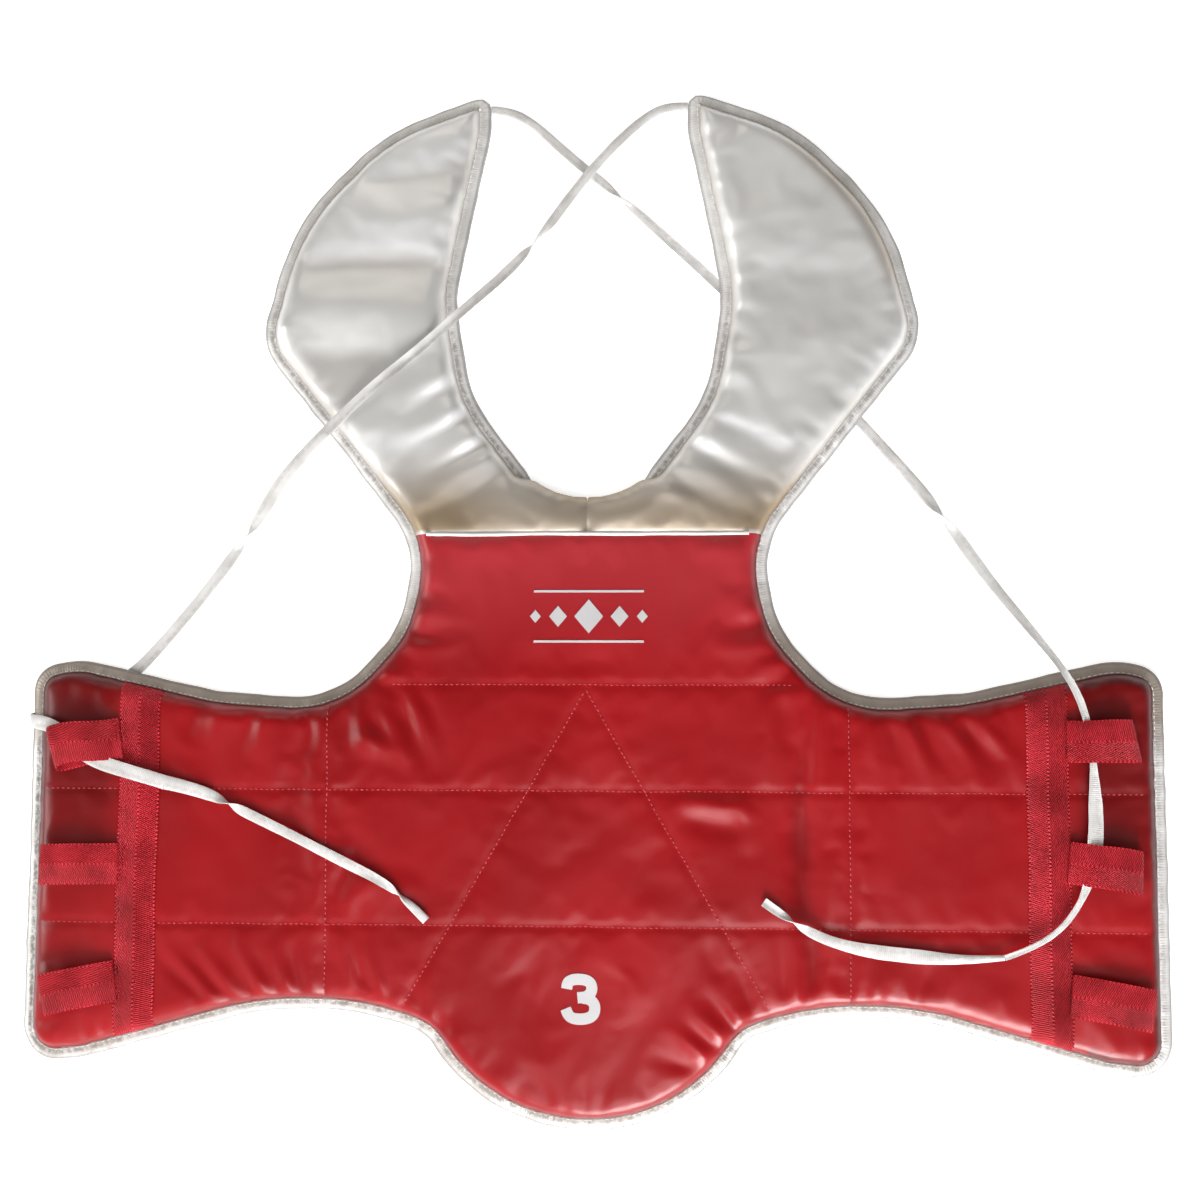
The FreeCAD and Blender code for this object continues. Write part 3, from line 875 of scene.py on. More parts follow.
def settled(vertices, faces, held, slack):
    """A short cloth simulation: slack cloth buckles between the rim and the stitches."""
    sheet = new_object("cover_cloth", vertices, faces, RED)
    add_group(sheet, "held", held)
    add_group(sheet, "tight", 1 - slack)
    cloth = sheet.modifiers.new("cloth", "CLOTH")
    values = cloth.settings
    values.quality, values.mass = 6, 0.4
    values.tension_stiffness, values.compression_stiffness = 60, 60
    values.shear_stiffness, values.bending_stiffness = 30, 9.0
    values.vertex_group_mass, values.pin_stiffness = "held", 8.0
    values.vertex_group_shrink, values.shrink_min, values.shrink_max = "tight", -MOST_SLACK, 0.0
    values.use_pressure, values.uniform_pressure_force = True, 0.3
    values.effector_weights.gravity = 0
    cloth.point_cache.frame_end = SIMULATED_FRAMES
    for number in range(1, SIMULATED_FRAMES + 1):
        bpy.context.scene.frame_set(number)
    graph = bpy.context.evaluated_depsgraph_get()
    result = np.array([v.co[:] for v in sheet.evaluated_get(graph).data.vertices])
    bpy.data.objects.remove(sheet)
    bpy.context.scene.frame_set(1)
    return result


def grip_and_slack(flat, distance):
    """How firmly each point of the cover is held, and how much loose cloth lies there."""
    x, y = flat.T
    valleys, _ = quilt_valleys(flat)
    middle_seam = (y > SEAM_Y) & (y < FOLD_Y) & (np.abs(x) < 0.001)
    sewn = (distance < 0.002) | (valleys > 0.0007) | (np.abs(y - SEAM_Y) < 0.001) | middle_seam
    printed = smooth((0.045 - np.hypot(x, (y + 0.011) * 1.6)) / 0.01)
    printed = np.clip(printed + smooth((0.024 - np.hypot(x, y + 0.243)) / 0.008), 0, 1)
    held = np.where(sewn, 1.0, 0.12 + 0.4 * printed)
    starts, ends = np.transpose(QUILTING, (1, 0, 2))
    gap, _, _ = segment_distance(flat, starts, ends)
    near_fold = np.clip(np.abs(fold_height(flat)) / (0.8 * MM), 0, 1)
    near_sewing = smooth((0.03 - distance) / 0.026) + 0.45 * smooth((0.02 - gap) / 0.018)
    return held, np.clip(near_sewing + near_fold + 0.06, 0, 1)


COVER, COVER_FACES, FACE_MIDDLES, PAINTED_SHADE, HELD, LOOSE = raised_cover(AREA)
COVER = settled(COVER, COVER_FACES, HELD, LOOSE)
SURFACE = BVHTree.FromPolygons([tuple(v) for v in COVER], COVER_FACES)


def on_cover(x, y):
    """A point on the cover and the cover's normal there."""
    point, normal, _, _ = SURFACE.ray_cast(Vector((x, y, 0.1)), -UP)
    if point is None:
        return Vector((x, y, 0.004)), UP
    return point, normal if normal.z > 0 else -normal


def section_of(x, y):
    if y < 0 and abs(x) > FOLD_X:
        return "right_wing" if x > 0 else "left_wing"
    if y > SEAM_Y:
        return "right_flap" if x > 0 else "left_flap"
    return "torso"


def part_of_cover(section):
    chosen = [f for f, (x, y) in zip(COVER_FACES, FACE_MIDDLES) if section_of(x, y) == section]
    used = sorted({i for f in chosen for i in f})
    number = {old: new for new, old in enumerate(used)}
    return COVER[used], [[number[i] for i in f] for f in chosen], PAINTED_SHADE[used]


def hang(obj, section):
    """Rides a torso piece with the torso; a wing's or flap's piece gets its place baked into its
    mesh.
    """
    if section == "torso":
        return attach(obj, "torso")
    if section.endswith("wing"):
        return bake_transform(obj)
    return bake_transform(obj)


# each section's padded piece and the CAD nodes that it stands for
PADS = {
    "torso": ("front_pad", "front_panel", "torso_foam"),
    "left_wing": ("left_wing_pad", "left_wing_cover", "left_wing_foam"),
    "right_wing": ("right_wing_pad", "right_wing_cover", "right_wing_foam"),
    "left_flap": ("left_shoulder_pad", "left_flap_cover", "left_flap_foam", "yoke_left"),
    "right_flap": ("right_shoulder_pad", "right_flap_cover", "right_flap_foam", "yoke_right"),
}


def make_pads():
    for section, (name, *nodes) in PADS.items():
        white = section.endswith("flap")
        vertices, faces, painted_shade = part_of_cover(section)
        pad = new_object(name, vertices, faces, WHITE if white else RED)
        # painted sheen on the red panel above its top quilting row, none on the white
        pale = 0 if white else 0.68 * smooth((vertices[:, 1] - ROW_TOP) / 0.08)
        # painted shade and painted sheen for the vinyl's colour
        put_attribute(pad, "painted_shade", painted_shade)
        put_attribute(pad, "pale", np.full(len(vertices), pale))
        pad.modifiers.new("finer", "SUBSURF").levels = 1
        give_thickness(pad, 0.0009, -1.0)
        hang(pad, section)
        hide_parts(*nodes)


# ---- back lining


LINING_GRID = 0.012


def lining_grid(node):
    """The underside of a CAD slab, cut into a coarse grid: vertices, faces and area."""
    low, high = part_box(node)
    bm = bmesh.new()
    face = bm.faces.new([bm.verts.new((x, y, low.z)) for x, y in underside_loop(node)])
    face.normal_update()
    if face.normal.z < 0:
        face.normal_flip()
    for way, start, end in ((X_WAY, low.x, high.x), (Y_WAY, low.y, high.y)):
        steps = range(int(start / LINING_GRID), int(end / LINING_GRID) + 1)
        slice_faces(bm, way, [k * LINING_GRID for k in steps])
    vertices = np.array([v.co[:] for v in bm.verts])
    bm.verts.index_update()
    faces = [[v.index for v in f.verts] for f in bm.faces]
    area = sum(f.calc_area() for f in bm.faces)
    bm.free()
    return vertices, faces, area


def make_linings():
    """The woven back of each section, cut to its outline and lying flat."""
    for section in SECTIONS:
        node = f"{section}_lining"
        vertices, faces, area = lining_grid(node)
        vertices[:, 2] += 0.0003 + 0.00025 * (1 + field(vertices[:, :2], 0.03, 5)) * 0.5
        lining = new_object(f"{section}_back", vertices, faces, LINING)
        give_thickness(lining, 0.0004, 1.0)
        hang(lining, section)
        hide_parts(node)


# ---- edge tapes


# section of the folded tape: share of its width out from the pad, and height in mm
TAPE_SECTION = [
    (-0.22, 2.6),
    (-0.2, 3.7),
    (-0.05, 4.15),
    (0.2, 4.2),
    (0.45, 4.05),
    (0.68, 3.75),
    (0.86, 3.2),
    (0.97, 2.3),
    (1.0, 1.4),
    (0.93, 0.55),
    (0.78, 0.2),
    (0.4, 0.1),
    (-0.1, 0.1),
    (-0.2, 0.5),
]


def gathered(x, y):
    """How crumpled the edge tape is: most on the left wing's end and the hem."""
    low = smooth((-0.075 - y) / 0.02)
    if abs(x) < 0.33:
        flap = smooth((y - 0.03) / 0.03) * smooth((0.21 - y) / 0.05)
        return low * 0.8 + (1 - low) * 0.16 + 0.5 * flap
    return low * (0.3 if x > 0 else 0.9) + (1 - low) * 0.16


def painted_tape_shade(x, y):
    """Painted brown shade on the tape: most on the arm side, which faces away from the light, less
    on the hem.
    """
    arm = smooth((y + 0.1) / 0.03) * smooth((0.02 - y) / 0.05)
    hem = smooth((-0.16 - y) / 0.04) * (abs(x) < 0.34)
    return max(0.85 * arm, 0.35 * hem)


def tape_ring(index):
    """One ring of the tape where the outline's point with this number is."""
    along = index * OUTLINE_STEP
    (x, y), (nx, ny) = OUTLINE[index % len(OUTLINE)], OUTWARD[index % len(OUTLINE)]
    gather = 0.5 * (wave_at(along, 0.0042, 21) + wave_at(along, 0.011, 22))
    gather *= 0.5 + 0.6 * gathered(x, y)
    wobble = 0.35 * wave_at(along, 0.013, 23) + 0.25 * wave_at(along, 0.05, 24)
    hidden = neck_share(x, y)
    width = TAPE_WIDTH + wobble * MM - 0.003 * hidden
    ring = []
    for share, height in TAPE_SECTION:
        if height > 2:
            height = height * (1 - 0.55 * hidden) + gather * 0.75 * (1 - abs(share - 0.4))
        out = share * width
        ring.append((x + nx * out, y + ny * out, height * MM + lift(x, y)))
    return ring


def outline_at(x, low):
    """The number of the outline's point at this x on the hem, or on the arm side."""
    y = OUTLINE[:, 1]
    half = y < HALF_Y if low else (y > HALF_Y) & (y < 0)
    return int(np.argmin(np.where(half, np.abs(OUTLINE[:, 0] - x), 9)))


def make_tape(name, first, last, section, nodes):
    """A length of edge tape between two of the outline's points, with its stitches."""
    if last < first:
        last += len(OUTLINE)
    indices = np.arange(first, last + 1)
    tape = skin(name, [tape_ring(i) for i in indices], TAPE)
    places = [v.co[:2] for v in tape.data.vertices]
    shares = np.tile([share for share, _ in TAPE_SECTION], len(indices))
    put_attribute(tape, "along", np.repeat(indices * OUTLINE_STEP, len(TAPE_SECTION)))
    put_attribute(tape, "across", shares * TAPE_WIDTH)
    # painted shade in the tape's crinkles, deepest where it is most crumpled
    put_attribute(tape, "crinkle_shade", [gathered(x, y) for x, y in places])
    # painted brown shade on the arm side, a lighter one on the hem
    put_attribute(tape, "painted_tape_shade", [painted_tape_shade(x, y) for x, y in places])
    # painted shade: a dark outline on the tape's outer edge, in place of its shadow on the floor
    put_attribute(tape, "rim", 0.6 * (shares > 0.85))
    hang(tape, section)
    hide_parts(*nodes)
    numbers = indices % len(OUTLINE)
    seam = OUTLINE[numbers] + OUTWARD[numbers] * 0.0006
    stitches = stitch_row(seam[neck_share(*seam.T) < 0.4], 0.0034, tape_top, 0.0005)
    join_stitches(name + "_stitches", [stitches], WHITE_THREAD, section)


def tape_top(x, y):
    return Vector((x, y, 0.0043 + lift(x, y))), UP


def make_tapes():
    middle = nearest(OUTLINE, 0, 0.07)
    right_hem, left_hem = outline_at(FOLD_X, True), outline_at(-FOLD_X, True)
    right_arm, left_arm = outline_at(FOLD_X, False), outline_at(-FOLD_X, False)
    right_nodes = ["right_arm_binding", "right_flap_binding"]
    left_nodes = ["left_arm_binding", "left_flap_binding", "neck_binding"]
    make_tape("hem_tape", left_hem, right_hem, "torso", ["hem_binding"])
    make_tape("right_wing_tape", right_hem, right_arm, "right_wing", ["right_wing_binding"])
    make_tape("right_shoulder_tape", right_arm, middle, "right_flap", right_nodes)
    make_tape("left_shoulder_tape", middle, left_arm, "left_flap", left_nodes)
    make_tape("left_wing_tape", left_arm, left_hem, "left_wing", ["left_wing_binding"])


# ---- stitches


# along a stitch: place as a share of its length, thickness as a share, and rise or sink
STITCH_SHAPE = ((-0.5, 0.35, -0.8), (-0.3, 0.9, 0), (0, 1, 0.25), (0.3, 0.9, 0), (0.5, 0.35, -0.8))


def one_stitch(middle, ahead, up, length, width):
    """A stitch: a small rounded bead of thread pulled down at both ends."""
    side = ahead.cross(up).normalized()
    angles = [corner * math.pi / 3 for corner in range(6)]
    spokes = [side * math.cos(a) + up * math.sin(a) * 0.8 for a in angles]
    rings = []
    for share, size, sink in STITCH_SHAPE:
        centre = middle + ahead * (share * length) + up * (sink * width * 0.5)
        rings.append([centre + spoke * (size * width / 2) for spoke in spokes])
    return rings


def stitch_row(line, pitch, surface, width):
    """Stitches along a line of points, laid on a surface."""
    lengths = lengths_along(line)
    made = []
    for k in range(int(lengths[-1] / pitch)):
        centre = (k + 0.5) * pitch
        first, last = points_at(line, lengths, [centre - 0.3 * pitch, centre + 0.3 * pitch])
        (a, up), (b, _) = surface(*first), surface(*last)
        run = b - a
        if 0.2 * pitch <= run.length <= 2 * pitch:
            place = (a + b) / 2 + up * 0.0001
            made.append(one_stitch(place, run.normalized(), up, 0.74 * pitch, width))
    return made


def join_stitches(name, rows, material, section):
    obj = new_object(name, *joined([rings for stitches in rows for rings in stitches]), material)
    hang(obj, section)


def clipped(line, low, high):
    """The stretch of a straight line whose x is between two values, or None."""
    (x0, y0), (x1, y1) = line
    if x1 == x0:
        return line if low <= x0 <= high else None
    reach = max(min(x0, x1), low), min(max(x0, x1), high)
    if reach[1] - reach[0] <= 0.004:
        return None
    return [(x, y0 + (y1 - y0) * (x - x0) / (x1 - x0)) for x in reach]


def quilting_points(line):
    """Points along a row of quilting, a little off its straight line."""
    start, end = np.array(line)
    count = max(2, int(np.hypot(*(end - start)) / 0.004))
    points = start + (end - start) * np.linspace(0, 1, count)[:, None]
    shaken = np.column_stack([wave(points[:, 1], 0.02, 41), wave(points[:, 0], 0.02, 42)])
    return points + 0.0003 * shaken


# how far from the middle the wings' quilting may reach
WING_END = 0.345


def make_quilting():
    spans = {
        "torso": (-FOLD_X, FOLD_X),
        "left_wing": (-WING_END, -FOLD_X),
        "right_wing": (FOLD_X, WING_END),
    }
    for section, (low, high) in spans.items():
        lines = [line for line in QUILTING if section == "torso" or line[0][0] != line[1][0]]
        stretches = [clipped(line, low, high) for line in lines]
        rows = [stitch_row(quilting_points(s), 0.0033, on_cover, 0.0009) for s in stretches if s]
        join_stitches(f"{section}_quilting", rows, RED_THREAD, section)


# ---- piping


def make_piping():
    """The rolled piping along the seam between the red panel and the white yokes."""
    circle = [(math.cos(k * math.pi / 5), math.sin(k * math.pi / 5) * 0.9) for k in range(10)]
    rings = []
    for x in np.linspace(-SEAM_HALF - 0.002, SEAM_HALF + 0.002, 180):
        y = SEAM_Y + 0.0004 * wave_at(x, 0.03, 51)
        height = on_cover(x, y)[0].z + 0.0004
        radius = 0.00125 + 0.00012 * wave_at(x, 0.008, 52)
        rings.append([(x, y + radius * out, height + radius * up) for out, up in circle])
    piping = skin("seam_roll", rings, PIPING)
    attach(piping, "torso")
    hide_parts("seam_piping")


# ---- webbing


# how many points a band's top and its underside have across, and how thick a loop's band is
BAND_POINTS = 13
WEB_THICK = 0.0011


def band_attributes(obj, lengths, width, count):
    """Marks where each point of a band lies along and across it."""
    shares = np.linspace(-1, 1, count)
    across = np.concatenate([shares, shares[::-1]]) * width / 2
    put_attribute(obj, "along", np.repeat(lengths, 2 * count))
    put_attribute(obj, "across", np.tile(across, len(lengths)))


def resting_height(x, y):
    """How high stiff webbing lies here: at the cover's mean height round about, or its own."""
    steps = [(dx, dy) for dx in (-0.003, 0, 0.003) for dy in (-0.005, 0, 0.005)]
    heights = [on_cover(x + dx, y + dy)[0].z for dx, dy in steps]
    return max(float(np.mean(heights)), heights[4] - 0.0002)


def make_strips():
    """The webbing sewn down each wing, following the cover under it."""
    shares = np.linspace(-1, 1, BAND_POINTS)
    for name, side in (("left", -1), ("right", 1)):
        columns = side * STRIP_X + shares * WEB_WIDTH / 2
        lows = [OUTLINE[outline_at(x, True), 1] + 0.0008 for x in columns]
        highs = [OUTLINE[outline_at(x, False), 1] - 0.0008 for x in columns]
        rings, lengths = [], []
        for place in np.linspace(0, 1, 110):
            drift = 0.0005 * wave_at(place, 0.25, 61 + side)
            top, under = [], []
            for s, column, low, high in zip(shares, columns, lows, highs):
                x, y = column + drift, low + (high - low) * place
                z = resting_height(x, y)
                top.append((x, y, z + 0.0001 + 0.0012 * (1 - 0.5 * abs(s) ** 9)))
                under.append((x, y, z - 0.0003))
            rings.append(top + under[::-1])
            lengths.append(y)
        strip = skin(f"{name}_webbing", rings, WEBBING)
        band_attributes(strip, lengths, -side * WEB_WIDTH, BAND_POINTS)
        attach(strip, f"{name}_wing")
        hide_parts(f"{name}_strip")


# each loop: reach in m, droop in degrees as on the CAD, tilt of its free end in degrees, height of
# its eye and sag of its free end in mm, and how far its upper layer leans over its lower one
LOOP_SHAPES = {
    ("left", "top"): (0.0425, 8, -8, 5.4, 4.3, 0.75),
    ("left", "middle"): (0.0475, 0, 2, 3.6, 1.2, 0.1),
    ("left", "bottom"): (0.0450, 8, -4, 4.4, 3.6, 0.15),
    ("right", "top"): (0.0395, 0, 11, 5.2, 0.3, 0.2),
    ("right", "middle"): (0.0415, 6, 4, 5.0, 2.5, 0.3),
    ("right", "bottom"): (0.0470, 6, -1, 3.8, 3.6, 0.1),
}


def loop_line(length, eye):
    """The middle line of a folded loop seen from its side: out, round the fold and back."""
    high = eye * MM
    return [
        (-0.0015, 0.0007), (length * 0.3, 0.0008), (length * 0.6, 0.0005), (length - 0.004, 0.0008),
        (length - 0.0012, 0.0016), (length, 0.0008 + high / 2), (length - 0.0014, high),
        (length - 0.005, high + 0.0011), (length * 0.62, high + 0.0021),
        (length * 0.34, high + 0.0009), (length * 0.17, high * 0.5 + 0.0012),
        (0.004, 0.0023), (-0.0015, 0.0018),
    ]


def smooth_line(points, samples):
    """A smooth line through a few points, evenly sampled, and how far along each sample lies."""
    points = np.array(points, float)
    for _ in range(3):
        ahead, back = points[1:], points[:-1]
        cut = np.empty((2 * len(back), points.shape[1]))
        cut[0::2], cut[1::2] = 0.75 * back + 0.25 * ahead, 0.25 * back + 0.75 * ahead
        points = np.vstack([points[:1], cut, points[-1:]])
    lengths = lengths_along(points)
    at = np.linspace(0, lengths[-1], samples)
    return points_at(points, lengths, at), at


def loop_ring(place, normal, sign, seed, shape):
    """One ring of a loop's band, in the loop's own axes: out from the hinge, sideways and up."""
    (u, w), (length, _, tilt, _, sag_end, lean) = place, shape
    reach = smooth(u / length)
    shares = np.linspace(-1, 1, BAND_POINTS)
    shift = sign * (lean * w * reach - sag_end * MM * (max(u, 0) / length) ** 1.6)
    sag = 0.00025 * reach * wave_at(u, 0.014, seed + 1)
    ring = []
    for layer, order in ((1, shares), (-1, shares[::-1])):
        for s in order:
            v = s * WEB_WIDTH / 2
            thick = WEB_THICK / 2 * (1 - 0.5 * abs(s) ** 9) * layer
            skew = -sign * math.tan(math.radians(tilt)) * v * reach
            ripple = max(0.0005 * reach * wave_at(v + 3 * w, 0.011, seed), -0.0003)
            height = w + normal[1] * thick + ripple + sag
            ring.append(Vector((u + normal[0] * thick + skew, v + shift, height)))
    return ring


def make_loops():
    for (side, name), shape in LOOP_SHAPES.items():
        node = f"{side}_loop_{name}"
        length, droop, eye = shape[0], shape[1], shape[3]
        sign = 1 if side == "right" else -1
        hinge = Vector(JOINTS[f"{node}_lift"]["pos_m"])
        turn = -droop if side == "right" else 180 + droop
        place = Matrix.Translation(hinge - UP * WEB_THICK)
        place = place @ Matrix.Rotation(math.radians(turn), 4, "Z")
        line, lengths = smooth_line(loop_line(length, eye), 90)
        seed = 70 + 5 * len(name) + sign
        rings = [loop_ring(at, way, sign, seed, shape) for at, way in zip(line, left_of(line))]
        loop = skin(f"{node}_band", [[place @ point for point in ring] for ring in rings], WEBBING)
        band_attributes(loop, lengths, WEB_WIDTH, BAND_POINTS)
        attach(loop, node)
        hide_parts(node)


# ---- laces

# each lace: its two bodies and where it bends from one to the other; how wide it lies, as shares of
# its full width; its twists, each with how far along in m, over what length and by how many half
# turns; and the points in mm that lead its spline, close to the CAD's stiff lengths
LACES = {
    "left_lace_upper": (
        ("left_flap", "torso", (0, 0.125, 0), (0, 0.099, 0)),
        [0.62, 0.66, 0.62, 0.7, 0.66, 0.7],
        [(0.105, 0.03, 1), (0.235, 0.03, -1)],
        [(-62.9, 314, 3.4), (-50, 313.5, 3.2), (-34, 304, 1.4), (-12, 283, 0.7), (14, 262, 0.6),
         (58, 221.5, 0.6), (104, 177.5, 0.6), (148, 136, 0.6), (182, 97, 0.6)],
    ),
    "left_lace_middle": (
        ("torso", "right_wing", (0.185, 0.095, 0), (0.24, 0.025, 0)),
        [0.7, 0.8, 0.86, 0.8, 0.7, 0.62, 0.45, 0.5, 0.35, 0.92, 1.04, 0.4, 0.36, 0.36],
        [(0.06, 0.03, 1)],
        [(182, 97, 0.6), (216, 58, 0.6), (245, 15, 0.9), (270, -18, 8), (288, -44, 18.6),
         (298, -64, 19.4), (303, -88, 19), (304.5, -118, 18.2), (304.5, -147, 19), (299, -174, 19),
         (286, -195, 19), (268, -208, 18.8), (250, -214.5, 17.7)],
    ),
    "left_lace_end": (
        ("right_wing", "torso", (0.182, -0.21, 0), (0.142, -0.21, 0)),
        [0.36, 0.6, 0.96, 0.94, 0.7, 0.66, 0.6],
        [(0.128, 0.022, 1)],
        [(250, -214.5, 17.7), (228, -216.5, 16.8), (196, -214.5, 16.8), (164, -211, 16.4),
         (140, -204, 15.4), (120, -192, 14.8), (108, -183.5, 14.7)],
    ),
    "right_lace_upper": (
        ("right_flap", "torso", (0, 0.128, 0), (0, 0.105, 0)),
        [0.62, 0.68, 0.72, 0.66, 0.74],
        [(0.135, 0.03, 1)],
        [(62.9, 314, 3.4), (50, 315, 3.6), (33, 305.5, 4.4), (10, 283, 5), (-9, 260, 5),
         (-30, 231, 4.6), (-53, 204.5, 9.6), (-74, 183.5, 18), (-106, 155, 17.4), (-140, 128, 17.4),
         (-164, 104, 16.4)],
    ),
    "right_lace_middle": (
        ("torso", "left_wing", (-0.185, 0.085, 0), (-0.24, 0.015, 0)),
        [0.74, 0.9, 0.84, 0.74, 0.8, 0.95, 0.98, 1, 0.95],
        [(0.085, 0.03, -1)],
        [(-164, 104, 16.4), (-188, 80, 15.4), (-208, 51, 5), (-232, 18, 0.9), (-260, -17, 0.6),
         (-290, -50, 0.6), (-322, -67, 0.6), (-344, -74, 0.7), (-350.8, -76, 2.6),
         (-349.8, -76.5, 8.5), (-344, -77, 16), (-334, -78.5, 19), (-325.5, -84, 18.8),
         (-316.5, -93, 18.8), (-303, -101.5, 18.8), (-284, -107, 18.9), (-260, -114, 17.9)],
    ),
    "right_lace_end": (
        ("left_wing", "torso", (-0.178, -0.15, 0), (-0.146, -0.15, 0)),
        [0.95, 0.82, 0.7, 0.66, 0.7, 0.6, 0.6],
        [(0.041, 0.022, 1), (0.163, 0.02, -1)],
        [(-260, -114, 17.9), (-236, -119, 16.8), (-212, -131, 16.6), (-182, -145, 16.6),
         (-150, -161, 15.8), (-122, -174.5, 14.8), (-106, -188, 14.7), (-97, -197, 14.6)],
    ),
}
LACE_WIDTH, LACE_THICK, LACE_POINTS = 0.009, 0.0009, 9


def lace_curve(name, route):
    """The lace's middle line, as a smooth spline led by its route's points."""
    data = bpy.data.curves.new(name + "_line", "CURVE")
    data.dimensions = "3D"
    spline = data.splines.new("NURBS")
    spline.points.add(len(route) - 1)
    for control, (x, y, z) in zip(spline.points, route):
        control.co = (x * MM, y * MM, z * MM, 1)
    spline.order_u = 3
    spline.use_endpoint_u = True
    spline.resolution_u = 14
    obj = bpy.data.objects.new(name + "_line", data)
    bpy.context.scene.collection.objects.link(obj)
    bpy.context.view_layer.update()
    graph = bpy.context.evaluated_depsgraph_get()
    mesh = bpy.data.meshes.new_from_object(obj.evaluated_get(graph))
    line = np.array([v.co[:] for v in mesh.vertices])
    bpy.data.objects.remove(obj)
    bpy.data.meshes.remove(mesh)
    return line


def lace_frames(line):
    """Side directions carried along the line without twist, kept level where the lace lies flat."""
    tangent = unit_rows(np.gradient(line, axis=0))
    side = np.cross(tangent[0], (0, 0, 1.0))
    side /= np.linalg.norm(side)
    sides = []
    for t in tangent:
        side = side - t * (side @ t)
        level = np.cross(t, (0, 0, 1.0))
        if np.linalg.norm(level) > 0.6:
            level /= np.linalg.norm(level)
            side = side + 0.15 * level * np.sign(level @ side)
        side = side / np.linalg.norm(side)
        sides.append(side)
    return np.array(sides), np.cross(sides, tangent)


def lace_turns(twists, lengths):
    """How far a lace is turned about its middle line, and how much it is pinched, all along."""
    turn, pinch = np.zeros(len(lengths)), np.ones(len(lengths))
    for at, over, halves in twists:
        turn += math.pi * halves * smooth((lengths - at + over / 2) / over)
        pinch *= 1 - 0.35 * np.exp(-(((lengths - at) / (over * 0.4)) ** 2))
    return turn, pinch


def lace_ring(centre, side, up, half, length, seed):
    """One ring of a lace: its top from edge to edge, slightly cupped, then its underside back."""
    cup = 0.00035 * wave_at(length, 0.03, 81) + 0.0002
    top, under = [], []
    for s in np.linspace(-1, 1, LACE_POINTS):
        ripple = 0.00016 * wave_at(length + 0.001 * s, 0.0065, seed)
        base = centre + side * (s * half) + up * (cup * (1 - 2 * s * s) + ripple)
        thick = LACE_THICK / 2 * (1 - 0.55 * abs(s) ** 6)
        top.append(base + up * thick)
        under.append(base - up * thick)
    return top + under[::-1]


def lace_rings(line, lengths, spread, twists, seed):
    sides, ups = lace_frames(line)
    turn, pinch = lace_turns(twists, lengths)
    places = np.linspace(0, lengths[-1], len(spread))
    halves = LACE_WIDTH / 2 * np.interp(lengths, places, spread) * pinch
    rings = []
    for i, centre in enumerate(line):
        side = sides[i] * math.cos(turn[i]) + ups[i] * math.sin(turn[i])
        up = ups[i] * math.cos(turn[i]) - sides[i] * math.sin(turn[i])
        rings.append(lace_ring(centre, side, up, halves[i], lengths[i], seed))
    rings = np.array(rings)
    rings[:, :, 2] = np.maximum(rings[:, :, 2], 0.00005)
    return rings


def make_laces():
    for name, (bend, spread, twists, route) in LACES.items():
        line = lace_curve(name, route)
        lengths = lengths_along(line)
        lace = skin(name + "_tape", lace_rings(line, lengths, spread, twists, 82 + len(name)), LACE)
        band_attributes(lace, lengths, LACE_WIDTH, LACE_POINTS)
        # painted shade in the lace's crinkles, the same all along
        put_attribute(lace, "crinkle_shade", np.full(len(lace.data.vertices), 0.4))
        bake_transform(lace)
        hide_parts(name)


# ---- printed marks


def print_rings(rows, height):
    """Rings of a thin print: rows of places on the cover, raised by its height and closed below."""
    rings = []
    for row in rows:
        points = [(x, y, on_cover(x, y)[0].z) for x, y in row]
        top = [(x, y, z + height) for x, y, z in points]
        rings.append(top + [(x, y, z - 0.0001) for x, y, z in points[::-1]])
    return rings


def ribbon_rows(line, width):
    """Rows of places across a printed band."""
    shares = np.linspace(-0.5, 0.5, 9) * width
    return [[point + across * s for s in shares] for point, across in zip(line, left_of(line))]


def rhombus_rows(middle, half_wide, half_high):
    """Rows of places across a rhombus, which widen to its middle."""
    x, y = middle
    shares = np.linspace(-1, 1, 15)
    return [
        [(x + t * half_wide, y + s * half_high * (1 - abs(t))) for s in shares]
        for t in np.linspace(-0.97, 0.97, 41)
    ]


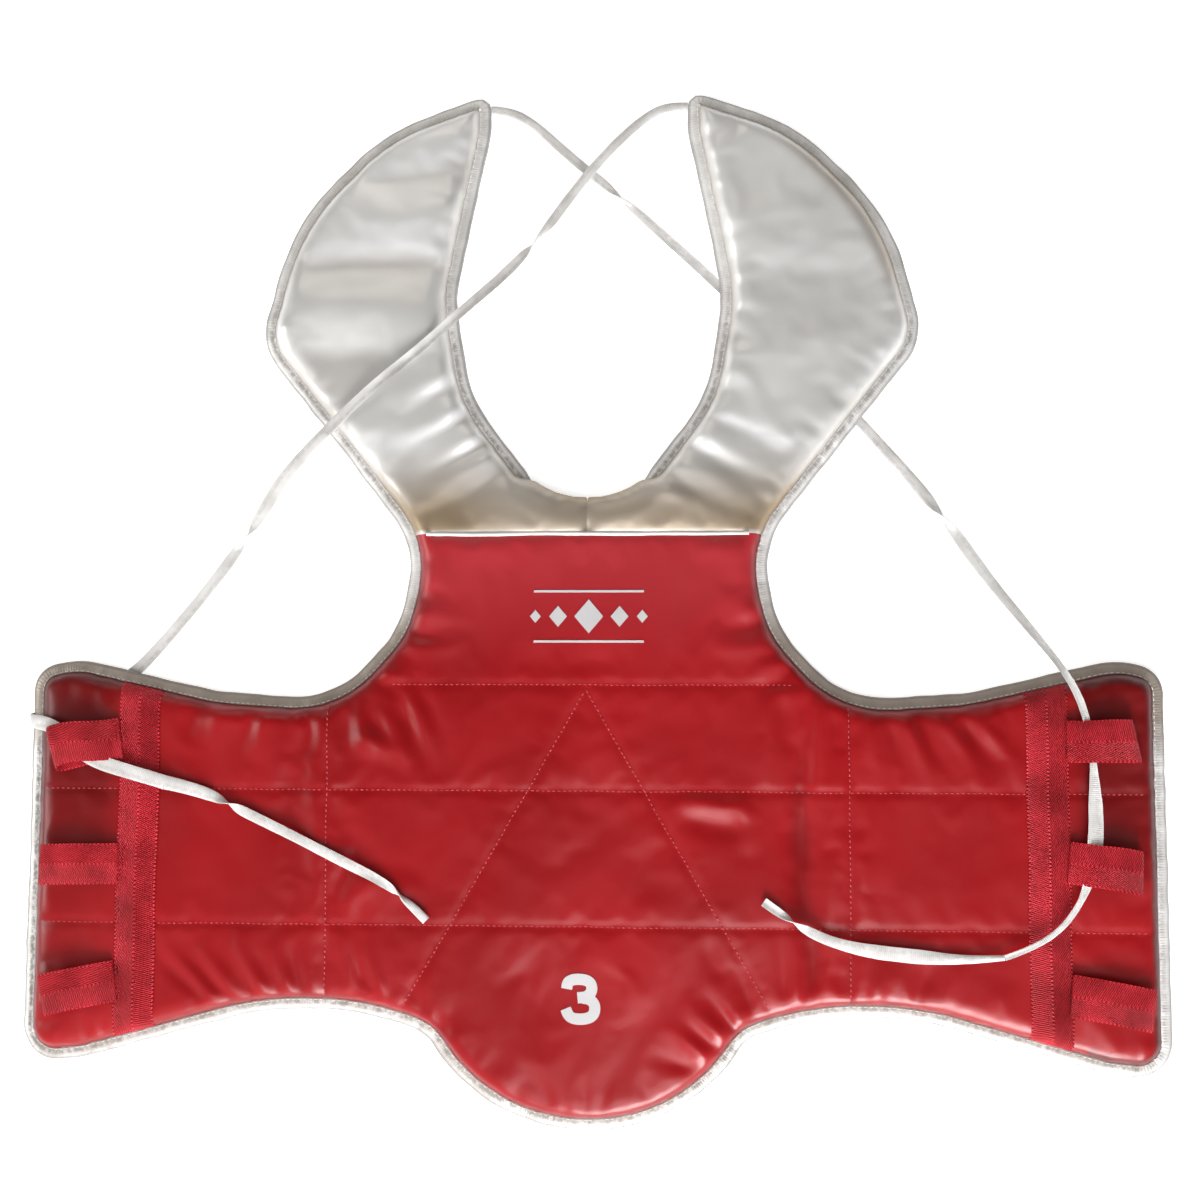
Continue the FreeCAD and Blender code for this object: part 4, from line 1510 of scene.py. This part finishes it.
# width and two heights of the numeral's ribbon, the lower stroke under the upper one
NUMERAL_WIDTH, UPPER_STROKE, LOWER_STROKE = 0.0067, 0.00036, 0.00026
# the badge's rules: how far from its middle, half length, width, and height of all its print
RULE_PLACE, RULE_HALF, RULE_WIDTH, BADGE_HEIGHT = 0.0155, 0.034, 0.0014, 0.0003
NUMERAL_MIDDLE = np.array((-2.5, -243.0)) * MM
BADGE_MIDDLE = np.array((1.5, -11.0)) * MM
# the badge's rhombi: each one's place beside its middle, and half height
RHOMBI = ((-0.033, 0.004), (-0.019, 0.0065), (0.0, 0.0105), (0.019, 0.0065), (0.033, 0.004))
# the numeral's middle line, as points in mm about its middle
NUMERAL_LINE = [
    (-8.6, 5.8), (-7.8, 10.6), (-1.6, 12.0), (5.8, 10.8), (7.2, 5.2), (4.0, 1.2), (-2.0, 0.6),
]
NUMERAL_LOW_LINE = [
    (1.2, 0.5), (5.6, 0.0), (9.0, -3.6), (7.9, -10.2), (1.1, -12.4), (-6.8, -11.4), (-9.2, -6.0),
]


def make_marks():
    """A size number low on the front, and a plain badge higher up: rhombi between two rules."""
    parts = []
    for points, height in ((NUMERAL_LINE, UPPER_STROKE), (NUMERAL_LOW_LINE, LOWER_STROKE)):
        line = smooth_line(np.array(points) * MM, 90)[0] + NUMERAL_MIDDLE
        parts.append(print_rings(ribbon_rows(line, NUMERAL_WIDTH), height))
    for y in (-RULE_PLACE, RULE_PLACE):
        line = np.column_stack([np.linspace(-RULE_HALF, RULE_HALF, 60), np.full(60, y)])
        parts.append(print_rings(ribbon_rows(line + BADGE_MIDDLE, RULE_WIDTH), BADGE_HEIGHT))
    for x, half in RHOMBI:
        rows = rhombus_rows(BADGE_MIDDLE + (x, 0), half * 0.85, half)
        parts.append(print_rings(rows, BADGE_HEIGHT))
    marks = new_object("printed_marks", *joined(parts), PRINT)
    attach(marks, "torso")


# ---- all of it

make_camera()
make_studio()
make_floor()
make_laces()
make_pads()
make_linings()
make_tapes()
make_quilting()
make_piping()
make_strips()
make_loops()
make_marks()
